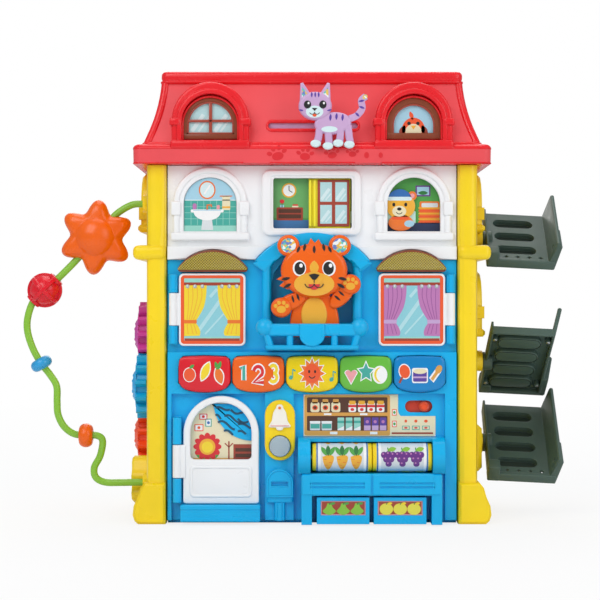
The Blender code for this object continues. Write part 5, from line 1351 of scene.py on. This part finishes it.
def makeRoller(name, body, node, x0, x1, kind):
    radius = roller["radius"]
    around = math.tau * radius
    centre = ((x0 + x1) / 2, roller["y"], roller["z"])
    half = (x1 - x0) / 2
    shell = turned(centre, (1, 0, 0), [(2.9, -half), (radius - 1.2, -half), (radius - 0.4, -half + 0.8),
                                       (radius - 0.4, -half + 3.6),
                                       (radius, -half + 4), (radius, half - 4), (radius - 0.4, half - 3.6),
                                       (radius - 0.4, half - 0.8), (radius - 1.2, half), (2.9, half),
                                       (2.9, -half)], 48)
    parts = painted("yellow", shell)
    shapes = [(0, rect(x0 + 4, x1 - 4, -around / 2, around / 2), "paleGrey")]
    for ink, near, far in (("blue", 4.2, 5.6), ("white", 5.6, 8.4)):
        shapes += [(1, rect(u0, u1, -around / 2, around / 2), ink)
                   for u0, u1 in ((x0 + near, x0 + far), (x1 - far, x1 - near))]
    pitch = around / roller["rows"]
    for row in range(roller["rows"]):
        v = (row - 1) * pitch - 0.8
        for place in (0.17, 0.5, 0.83):
            u = x0 + 8.6 + (x1 - x0 - 17.2) * place
            if kind == "carrot":
                root = [(u - 5.6, v + 2.4), (u - 4.2, v - 5), (u, v - 12.6), (u + 4.2, v - 5),
                        (u + 5.6, v + 2.4),
                        (u, v + 4.6)]
                shapes += [(2, smoothRoute(root, 4)[:-1], "amber"),
                           (3, leafShape((u - 4.0, v + 8.2), 11, 4.4, 118), "leaf"),
                           (3, leafShape((u + 4.0, v + 8.2), 11, 4.4, 62), "leaf"),
                           (4, leafShape((u, v + 9), 12, 4.4, 90), "forest")]
                shapes += [(3, stroke([(u + a, v + b), (u + a + 3, v + b - 0.4)], 0.7), "orange")
                           for a, b in ((-4.6, 0), (0.6, -3.2), (-3.4, -6), (-1, -9))]
            else:
                for du, dv in ((-4.6, 4.2), (0, 5.0), (4.6, 4.2), (-2.4, -0.2), (2.4, -0.2), (0, -5.0)):
                    shapes.append((2, oval((u + du, v + dv), 3.1, 3.2, steps=20), "plum"))
                    shapes.append((3, oval((u + du - 0.8, v + dv + 1.0), 0.9, 0.9, steps=10), "orchid"))
                shapes += [(4, leafShape((u + 3.6, v + 10.2), 8.4, 5.2, 15), "lime"),
                           (4, stroke([(u, v + 7.2), (u - 0.8, v + 12)], 1.1), "leaf")]
    for layer, outline, ink in shapes:
        parts += inked(ink, wrapped(slab(outline, -0.06 * (layer + 1), 0.1)))
    makePiece(name, body, parts, [node], 30)


def makeCratePrints():
    shapes = []
    for x0, ink, shade in ((8.6, "lime", "leaf"), (64.9, "lemon", "yellow")):
        shapes += [(0, rect(x0, x0 + 44.2, 10.4, 24.4), "pink"),
                   (1, rect(x0 + 1, x0 + 43.2, 11.3, 23.5), "redBrown")]
        for i in range(3):
            u, v = x0 + 8.4 + i * 13.7, 16.4
            body = oval((u, v), 6.7, 5.7)
            if ink == "lime":
                side = [(2, 5.6), (3.2, 1.8), (6.5, -2.4), (0, -5.8)]
                body = smoothRoute([(u - a, v + b) for a, b in side]
                                   + [(u + a, v + b) for a, b in side[-2::-1]], 4)
            shapes += [(2, body, ink), (3, stroke([(u, v + 4.4), (u + 1.0, v + 6.8)], 0.9), "forest"),
                       (3, leafShape((u + 3.4, v + 5.5), 5.4, 2.6, 12), shade)]
    makePiece("cratePrints", "house", printed(shapes, card["crates"], 0.07))


makeShelfCard()
makeSwitch()
makeRoller("leftRoller", "barrel_left", "roller_left", 0.0, 59.2, "carrot")
makeRoller("rightRoller", "barrel_right", "roller_right", 59.8, 118.6, "grape")
makeCratePrints()
print("shop done")


# Press buttons with generic stickers

press = {"pitch": 53.5, "half": (25.8, 18.2), "z": 149.3, "rim": -106.2, "dome": 2.9,
         "stretch": (1.13, 1.36)}


def domed(mesh, centre, half, height, front, step=3.0):
    # Raises the front of a flat shape into a dome
    shape = bmesh.new()
    shape.from_mesh(mesh)
    bpy.data.meshes.remove(mesh)
    for axis, middle, reach in ((0, centre[0], half[0]), (2, centre[1], half[1])):
        for i in range(-int(reach // step), int(reach // step) + 1):
            place, normal = [0, 0, 0], [0, 0, 0]
            place[axis], normal[axis] = (middle + i * step) * mm, 1
            bmesh.ops.bisect_plane(shape, geom=shape.verts[:] + shape.edges[:] + shape.faces[:], dist=1e-7,
                                   plane_co=place, plane_no=normal)
    for vert in shape.verts:
        if vert.co.y < front * mm:
            a = min(1.0, abs(vert.co.x / mm - centre[0]) / half[0])
            b = min(1.0, abs(vert.co.z / mm - centre[1]) / half[1])
            vert.co.y -= height * mm * (1 - a ** 2.4) * (1 - b ** 2.4)
    raised = bpy.data.meshes.new("raised")
    shape.to_mesh(raised)
    shape.free()
    return raised


def buttonOutline(x):
    halfX, halfZ = press["half"]
    z = press["z"]
    points = [(0, halfZ), (-12, halfZ - 0.35), (-20.5, halfZ - 0.9), (-23.6, halfZ - 2.2),
              (-25.2, halfZ - 5), (-25.8, halfZ - 10),
              (-25.8, -halfZ + 12), (-25.2, -halfZ + 9)]
    belly = [(23.6 * math.sin(math.radians(a)), -halfZ + 7.5 * (1 - math.cos(math.radians(a))))
             for a in range(-70, 1, 7)]
    left = points + belly
    right = [(-u, v) for u, v in reversed(left[1:-1])]
    return [(x + u, z + v) for u, v in left + right]


def buttonSticker(kind, x, z):
    if kind == "red":           # apple, banana, carrot
        return [("halo", oval((x - 13, z - 1), 5.6, 5.4)), ("coral", oval((x - 13, z - 1), 5.0, 4.8)),
                ("leaf", leafShape((x - 11, z + 5), 5, 2.4, 30)),
                ("halo", leafShape((x + 1, z + 1.5), 17, 8.4, 62)),
                ("yellow", leafShape((x + 1, z + 1.5), 15, 6.4, 62)),
                ("halo", leafShape((x + 13, z - 1.6), 15, 9, -70)),
                ("orange", leafShape((x + 13, z - 1.6), 13, 7, -70)),
                ("leaf", leafShape((x + 10.6, z + 5.6), 6.5, 3, 110)),
                ("leaf", leafShape((x + 13.4, z + 6), 6.5, 3, 70))]
    if kind == "orange":        # figures 1 2 3
        one = [(x - 15.5, z + 3.2), (x - 12.6, z + 5.6), (x - 12.6, z - 5)]
        two = arc((x, z + 1.2), 3.9, 170, -30, 9) + [(x - 4, z - 6.6), (x + 4.8, z - 6.6)]
        three = arc((x + 13.2, z + 2.9), 3.0, 150, -90, 8) + arc((x + 13.2, z - 2.9), 3.2, 90, -150, 8)
        return [("halo", stroke(one, 4.8)), ("teal", stroke(one, 2.6)), ("halo", stroke(two, 4.8)),
                ("red", stroke(two, 2.6)),
                ("halo", stroke(three, 4.8)), ("yellow", stroke(three, 2.6))]
    if kind == "yellow":        # sun and notes
        shapes = [("halo", starShape((x, z), 12.4, 8.4, 12)), ("orange", starShape((x, z), 11.2, 7.4, 12)),
                  ("coral", oval((x, z), 7, 7)), ("black", oval((x - 2.6, z + 1.4), 0.9, 1.2)),
                  ("black", oval((x + 2.6, z + 1.4), 0.9, 1.2)),
                  ("black", stroke(arc((x, z - 0.4), 3, 210, 330, 8), 0.8))]
        for u, v in ((-18.6, -3), (17, -4.4)):
            shapes += [("teal", oval((x + u, z + v), 1.9, 1.5, 20)),
                       ("teal", stroke([(x + u + 1.5, z + v), (x + u + 1.5, z + v + 6)], 0.8)),
                       ("teal", stroke([(x + u + 1.5, z + v + 6), (x + u + 4, z + v + 4.8)], 1.0))]
        return shapes
    if kind == "green":         # heart, star, half-moon
        heart = arc((x - 15.6, z - 0.4), 2.8, 160, 20, 8) + arc((x - 10.6, z - 0.4), 2.8, 160, 20,
                                                                8)[1:] + [(x - 13.1, z - 7.2)]
        moon = arc((x + 12.6, z - 1), 5.4, 90, 270, 14) + arc((x + 14.4, z - 1), 5.4, 250, 110, 10)
        return [("halo", grown(heart, 1.3)), ("pink", heart), ("halo", starShape((x, z + 1), 8.6, 4.4)),
                ("teal", starShape((x, z + 1), 7.0, 3.5)), ("halo", oval((x + 12.2, z - 1), 6.6, 6.6)),
                ("yellow", moon)]
    # maraca, drum, horn
    return [("halo", oval((x - 13.4, z + 1.4), 5.2, 5.8, 30)),
            ("coral", oval((x - 13.4, z + 1.4), 4.4, 5, 30)),
            ("redBrown", stroke([(x - 15.4, z - 2.6), (x - 18, z - 7)], 1.8)),
            ("halo", rounded(x - 7, x + 7, z - 7, z + 4, 1.6)),
            ("purple", rounded(x - 6, x + 6, z - 6, z + 1.6, 1)), ("cream", oval((x, z + 1.6), 6, 1.9)),
            ("lilac", rect(x - 6, x + 6, z - 3.4, z - 2.2)), ("halo",
                                                              stroke([(x + 10, z - 5), (x + 17, z + 3)],
                                                                     5.2)),
            ("tan", stroke([(x + 10.4, z - 4.6), (x + 16.4, z + 2.4)], 2.6)),
            ("tan", oval((x + 16.6, z + 3), 3.4, 2.6, 45))]


def makeButtons():
    for i, (name, colour) in enumerate(buttonColours.items()):
        x = (i - 2) * press["pitch"]
        z, rim = press["z"], press["rim"]
        dome = ((x, z), press["half"], press["dome"], rim + 2.4)
        flange = block(x - 18, x + 18, -91.6, -89.6, z - 21, z + 21, 0.3, 2)
        parts = painted("button" + name.capitalize(), domed(slab(buttonOutline(x), rim, -90, 2.2, 5),
                                                            *dome), flange)
        # Each shape of a sticker lies a hair over the last, on a white halo
        for j, (ink, outline) in enumerate(buttonSticker(name, x, z + 0.6)):
            lift = 0.16 if ink == "halo" else 0.26
            wide, tall = press["stretch"]
            outline = [(x + (u - x) * wide, z + (v - z) * tall) for u, v in outline]
            flat = slab(outline, rim - lift - 0.006 * j, rim + 0.05)
            parts += inked("white" if ink == "halo" else ink, domed(flat, *dome))
        makePiece("press" + name.capitalize(), "key_" + name, parts, ["button_" + name])


makeButtons()
print("buttons done")


# Cub on the balcony: own generic design

cub = {"head": (2.0, 252.0), "headHalf": (33.0, 27.0), "headFront": -114.6, "dome": 3.0,
       "armFace": -111.0, "handFace": -113.0, "earFace": -113.4, "hands": ((-30.5, 215.5), (38, 238.5)),
       "trunk": ((-20, 186), (-22, 200), (-19, 216), (-10, 233), (2, 238), (14, 233), (24, 216), (27, 200),
                 (25, 186)),
       "stripes": ((28, -8, 9, 3.2, 168), (26.5, -15, 9, 3.2, 150), (9.5, 23, 8, 3, 100),
                   (15.5, 21, 7, 2.8, 115)),
       "armStripes": ((-14, 226, 2.4, 110), (-19, 224, 2.2, 105), (25, 225, 2.4, 140),
                      (29, 229.5, 2.2, 140))}


def makeCub():
    headX, headZ = cub["head"]
    front = cub["headFront"]

    def onHead(outline, ink, lift):
        flat = slab(outline, front - lift, front + 0.4)
        return inked(ink, domed(flat, cub["head"], cub["headHalf"], cub["dome"], front + 3.5, 4.0))

    # Body, arms and the pin that it sways on
    arm, hand, ear = cub["armFace"], cub["handFace"], cub["earFace"]
    trunk = smoothRoute(cub["trunk"], 5)
    coat = [slab(trunk[::-1], -107.4, -97, 3.2, 5),
            turned((0.5, 0, 194.5), (0, 1, 0), [(0, -98), (4.5, -98), (4.5, -82.3), (0, -82.3)]),
            slab(oval((-21, 221), 16, 8, 25), arm, -104.5, 2.6, 5),
            slab(oval((30, 228), 16.5, 8.2, 48), arm, -104.5, 2.6, 5)]
    parts = inked("amber", slab(oval((2, 208), 13, 18.5), -108.6, -104, 1.6, 4))
    for x, z in cub["hands"]:
        coat.append(slab(oval((x, z), 10.4, 10), hand, -105.5, 3, 5))
        toes = [(x + 6.2 * math.cos(a), z - 1 + 6.2 * math.sin(a))
                for a in map(math.radians, (25, 68, 112, 155))]
        parts += printed([(0, oval((x, z - 1.8), 4.6, 3.6), "amber")]
                         + [(0, oval(toe, 1.9, 2.1), "amber") for toe in toes], hand, 0.2)
    for side in (-1, 1):
        middle = (headX + side * 25.5, headZ + 25)
        coat.append(slab(oval(middle, 11, 10.6), ear, -106.5, 2.4, 5))
        parts += printed([(0, oval(middle, 7.4, 7.2), "flecks")], ear, 0.16)
        for z0, z1, reach in ((247, 240, 37.5), (241, 233, 34.5)):
            tuft = [(headX + side * 28, z0 + 2), (headX + side * reach, (z0 + z1) / 2),
                    (headX + side * 25, z1)]
            coat.append(slab(tuft[::side], -112.4, -107.5, 1.0, 3))
    crest = [(9, 275.6), (4.4, 283.4), (0.6, 279.6), (-3.4, 284.5), (-7, 276)]
    coat.append(slab([(headX + u, v) for u, v in crest], -113, -108, 1.2, 3))
    head = slab(oval(cub["head"], *cub["headHalf"], steps=64), front, -106.5, 4.2, 7)
    coat.append(domed(head, cub["head"], cub["headHalf"], cub["dome"], front + 4.4, 4.0))
    # Face: muzzle, nose, mouth, eyes and stripes
    nose = [(1.6, -9), (-1.6, -9), (-5.4, -4.2), (0, -2.8), (5.4, -4.2)]
    nose = [(headX + u, headZ + v) for u, v in nose[1::-1] + nose[:1:-1]]
    parts += (onHead(oval((headX, headZ - 13.4), 20, 11.6), "amber", 0.35)
              + onHead(oval((headX, headZ - 7.4), 8.6, 6.8), "amber", 0.9)
              + onHead(leafShape((headX, headZ + 3), 14, 9, 90), "amber", 0.2)
              + onHead(nose, "black", 1.5)
              + onHead(stroke([(headX, headZ - 9), (headX, headZ - 12)], 0.9), "black", 1.2)
              + onHead(arc((headX, headZ - 13.4), 5.6, 180, 360, 16), "red", 1.05)
              + onHead(leafShape((headX, headZ + 21), 8, 3, 90), "black", 0.3))
    for side, start, end in ((-1, 190, 352), (1, 188, 350)):
        parts += onHead(stroke(arc((headX + side * 4.6, headZ - 12.2), 4.6, start, end, 12), 0.9), "black",
                        1.2)
        eye = (headX + side * 14.6, headZ + 2.4)
        parts += (onHead(oval(eye, 6.6, 7.8), "white", 0.3)
                  + onHead(oval((eye[0] - side * 0.4, eye[1]), 5.2, 6.4), "black", 0.5)
                  + onHead(oval((eye[0] + 1.6, eye[1] + 2.6), 1.7, 2.0), "white", 0.7))
        for u, v, length, width, tilt in cub["stripes"]:
            turn = tilt if side > 0 else 180 - tilt
            parts += onHead(leafShape((headX + side * u, headZ + v), length, width, turn), "black", 0.3)
    parts += printed([(0, leafShape((u, v), 8, width, tilt), "black") for u, v, width,
                      tilt in cub["armStripes"]],
                     arm, 0.2)
    makePiece("balconyCub", "tiger", painted("orange", *coat) + parts, ["tiger_cub"])


cat = {"head": (3.0, 414.5), "face": -120.8, "bodyFace": -119.4, "limbFace": -119.0, "tailFace": -118.6,
       "back": -113.4, "legs": ((7, 12, 375), (16, -4, 372.6), (28, 6, 375.4), (36, -10, 374)),
       "tail": ((37, 402), (44, 405), (49.4, 412), (48.6, 420), (53, 424))}


def makeCat():
    x, z = cat["head"]
    back, limb = cat["back"], cat["limbFace"]
    # Body and head, the neck through the slot, and the slide behind it
    fur = [slab(oval((20.5, 397.5), 18.4, 11, 6), cat["bodyFace"], back, 2.8, 5),
           slab(oval((x, z), 16.5, 14, steps=48), cat["face"], back, 3.2, 6),
           block(13, 25, -115, -85, 395.2, 399.7, 0.4, 2), block(-68, 106, -86.2, -84.2, 390, 405, 0.3, 2),
           block(-52, 90, -89.0, -86, 394, 400.9, 0.4, 2)]
    paws = []
    for u, tilt, low in cat["legs"]:
        shift = math.tan(math.radians(tilt)) * 11
        leg = stroke([(u + shift * 0.4, 396), (u - shift * 0.3, 384), (u - shift, low + 3)], 7.4)
        fur.append(slab(leg, limb, back, 1.8, 4))
        paws.append(slab(oval((u - shift - 1.2, low + 2.6), 5.2, 3.8), limb - 0.6, back, 1.6, 4))
    fur.append(slab(stroke(smoothRoute(cat["tail"], 6), 6.6), cat["tailFace"], back, 1.6, 4))
    face = [(0, oval((x - 0.6, 408.5), 8.6, 6), "shine"), (1, [(-0.4, 412.2), (5.2, 412.2), (2.4, 409.2)],
                                                           "black"),
            (1, stroke(arc((0, 408.6), 2.6, 200, 350, 9), 0.7), "black"),
            (1, stroke(arc((4.8, 408.6), 2.6, 190, 340, 9), 0.7), "black"),
            (1, oval((2.4, 405), 2.0, 1.4), "coral")]
    face += [(0, leafShape((x + u, 425.4), 5.6, 1.8, 90), "purple") for u in (-3.4, 0, 3.4)]
    flecks = []
    for s in (-1, 1):
        ear = [(x + s * 3, 424), (x + s * 15.4, 418), (x + s * 14.6, 437), (x + s * 12, 437.6)]
        fur.append(slab(ear[::s], limb, back, 1.4, 4))
        flecks.append((0, [(x + s * 6.4, 425), (x + s * 13.2, 421), (x + s * 12.8, 433)][::s], "flecks"))
        face += [(0, oval((x + s * 7.6, 415.6), 3.6, 4), "black"),
                 (1, oval((x + s * 7.6 + 1, 417), 1.0, 1.2), "white"),
                 (0, leafShape((x + s * 14, 410), 5, 1.6, 90 - s * 80), "purple")]
    body = [(0, leafShape((u, 404 - abs(u - 24) * 0.16), 7, 2.4, 86), "purple") for u in (18, 24, 30)]
    body.append((0, oval((17, 391.4), 8, 3), "shine"))
    tail = [(0, leafShape((u, v), 6, 2.2, tilt), "purple")
            for u, v, tilt in ((44.5, 406, -45), (49, 413, -20), (48.6, 419.4, 10))]
    tail.append((0, oval((52.2, 423.4), 2.6, 2.2, 40), "flecks"))
    parts = painted("lilac", *fur) + inked("shine", *paws) + printed(flecks, limb, 0.16)
    for shapes, front in ((face, cat["face"]), (body, cat["bodyFace"]), (tail, cat["tailFace"])):
        parts += printed(shapes, front)
    makePiece("roofCat", "cat", parts, ["cat_slider"])


makeCub()
makeCat()
print("figures done")


# Bead wire, beads and gears

wire = {
    "y": -58.0, "radius": 3.6,
    "route": ((-161, 321), (-172, 321), (-184, 320), (-199, 311), (-209.5, 299), (-220, 287), (-230.5, 275),
              (-242, 262), (-259, 245), (-272.5, 233), (-284, 222), (-290, 205), (-290, 190), (-284.5, 173),
              (-276, 158), (-267, 146.5), (-260.5, 135), (-260, 119), (-259, 106), (-253, 94), (-243, 86.5),
              (-230.5, 84.8), (-219, 84.6), (-213.5, 79), (-216, 64), (-222, 52), (-220.5, 42), (-211, 37),
              (-195, 36.6), (-175, 37), (-161, 37)),
    "beads": {"star": ((-220, 287), (-242, 262)), "ball": ((-272.5, 233), (-284, 222)),
              "disc": ((-276, 158), (-284.5, 173)), "oval": ((-230.5, 84.8), (-219, 84.6))},
}


def beadPlace(name):
    centre, towards = wire["beads"][name]
    middle = Vector((centre[0], wire["y"], centre[1]))
    return middle, Vector((towards[0] - centre[0], 0, towards[1] - centre[1])).normalized()


def ringBand(middle, way, radius, inner, half):
    return turned(middle, way, [(inner, -half), (radius - 0.5, -half), (radius, -half + 0.6),
                                (radius, half - 0.6),
                                (radius - 0.5, half), (inner, half), (inner, -half)], 48)


def makeWireAndBeads():
    line = smoothRoute([(x, wire["y"], z) for x, z in wire["route"]], 6)
    makePiece("beadWire", "house", painted("wire", tube(line, wire["radius"])),
              ["bead_wire"])

    # Star: six puffed points round a dome
    middle, way = beadPlace("star")
    rings = []
    for turn in range(-80, 81, 16):
        depth, share = 12.4 * math.sin(math.radians(turn)), math.cos(math.radians(turn)) ** 0.7
        ring = []
        for i in range(96):
            a = math.tau * i / 96
            lobe = 0.5 + 0.5 * math.cos(6 * (a - math.radians(85)))
            r = (26.8 + 11.7 * lobe) * (0.5 + 0.5 * share)
            ring.append((middle.x + r * math.cos(a), middle.y + depth, middle.z + r * math.sin(a)))
        rings.append(ring)
    dome = ball(middle, (23.6, 20.6, 23.6), 48, 28)
    makePiece("starBead", "star", painted("orange", loft(rings), dome), ["bead_star"], 60)

    # Lattice ball: two wide bands cross at the front and a third runs round the outline, over a smaller core
    middle, way = beadPlace("ball")
    collar = [(5.4, -2), (8, -2), (8, 1.4), (7, 2.0), (5.4, 2.0), (5.4, -2)]
    meshes = [ball(middle, (15.4, 15.4, 15.4), 40, 24)]
    meshes += [ringBand(middle, Vector(axis).normalized(), 17.7, 13.5, 2.1)
               for axis in ((1, 0, 1), (1, 0, -1), (0, 1, 0))]
    meshes += [turned(middle + way * end * 15.6, way * end, collar) for end in (-1, 1)]
    makePiece("latticeBall", "lattice_ball", painted("beadRed", *meshes), ["bead_ball"])

    # Flat bead and oval bead, each with its own hole
    for name, slotName, paint, radius, half, hole in (("disc", "blue_gear", "beadBlue", 11.2, 5.8, 4.2),
                                                      ("oval", "orange_shell", "orange", 12.2, 7.1, 4.9)):
        middle, way = beadPlace(name)
        profile = [(hole + 0.2 + (radius - hole - 0.2) * math.cos(a) ** 0.75, half * math.sin(a))
                   for a in map(math.radians, range(-88, 89, 8))]
        profile = [(hole, -half)] + profile + [(hole, half), (hole, -half)]
        makePiece(name + "Bead", name + "_bead", painted(paint, turned(middle, way, profile, 48)),
                  ["bead_" + name], 50)


gears = {
    "x": -170.0, "face": -11.5, "rings": (26, 22.6), "knobs": 6, "knobAway": 10.6, "knobFace": -15.4,
    "ring": ((-1.1, 0.5), (-0.9, -0.5), (-0.3, -0.9), (0.3, -0.5), (0.5, 0.5), (-1.1, 0.5)),
    "hub": ((3.4, -16.6), (5.4, -17.0), (14, -15.4), (18.4, -12.6), (19.8, -10), (3.4, -10), (3.4, -16.6)),
    "wheels": (("top", "purple_gear", "purple", (12.0, 187.0)),
               ("middle", "blue_gear", "gearBlue", (-15.0, 133.4)),
               ("bottom", "red_orange_gear", "gearRed", (12.0, 79.8))),
}


def makeGears():
    for name, slotName, paint, (y, z) in gears["wheels"]:
        x, node = gears["x"], "gear_" + name
        meshes = [nodeMesh(node)]
        for profile in [[(radius + r, gears["face"] + along) for r, along in gears["ring"]]
                        for radius in gears["rings"]] + [gears["hub"]]:
            meshes.append(turned((x, y, z), (1, 0, 0), profile))
        for i in range(gears["knobs"]):
            a = math.tau * (i + 0.5) / gears["knobs"]
            knob = (x + gears["knobFace"], y + gears["knobAway"] * math.cos(a),
                    z + gears["knobAway"] * math.sin(a))
            meshes.append(ball(knob, (1.6, 2.2, 2.2), 20, 12))
        makePiece("gear" + name.capitalize(), "wheel_" + name, painted(paint, *meshes), [node],
                  30, True)


makeWireAndBeads()
makeGears()
print("wire, beads and gears done")


# Screws at the back

screw = {"places": tuple((x, z) for x in (-134, 134) for z in (16, 120, 235, 348)) + ((0, 98), (0, 305)),
         "y": 95.0,
         "head": ((0, 1.1), (2.6, 0.9), (3.5, 0.3), (3.6, -0.8), (0, -0.8)),
         "cross": ((2.2, 0.45), (0.45, 2.2))}


def makeScrews():
    y = screw["y"]
    parts = []
    for x, z in screw["places"]:
        parts += painted("steel", turned((x, y - 1.5, z), (0, 1, 0), screw["head"], 24))
        # Cross recess drawn as thin black blocks on the crown: painted shade in place of the recess
        parts += inked("black", *(block(x - wide, x + wide, y - 0.6, y - 0.34, z - tall, z + tall)
                                  for wide, tall in screw["cross"]))
    makePiece("backScrews", "house", parts)


makeScrews()


# The end

print("scene built")
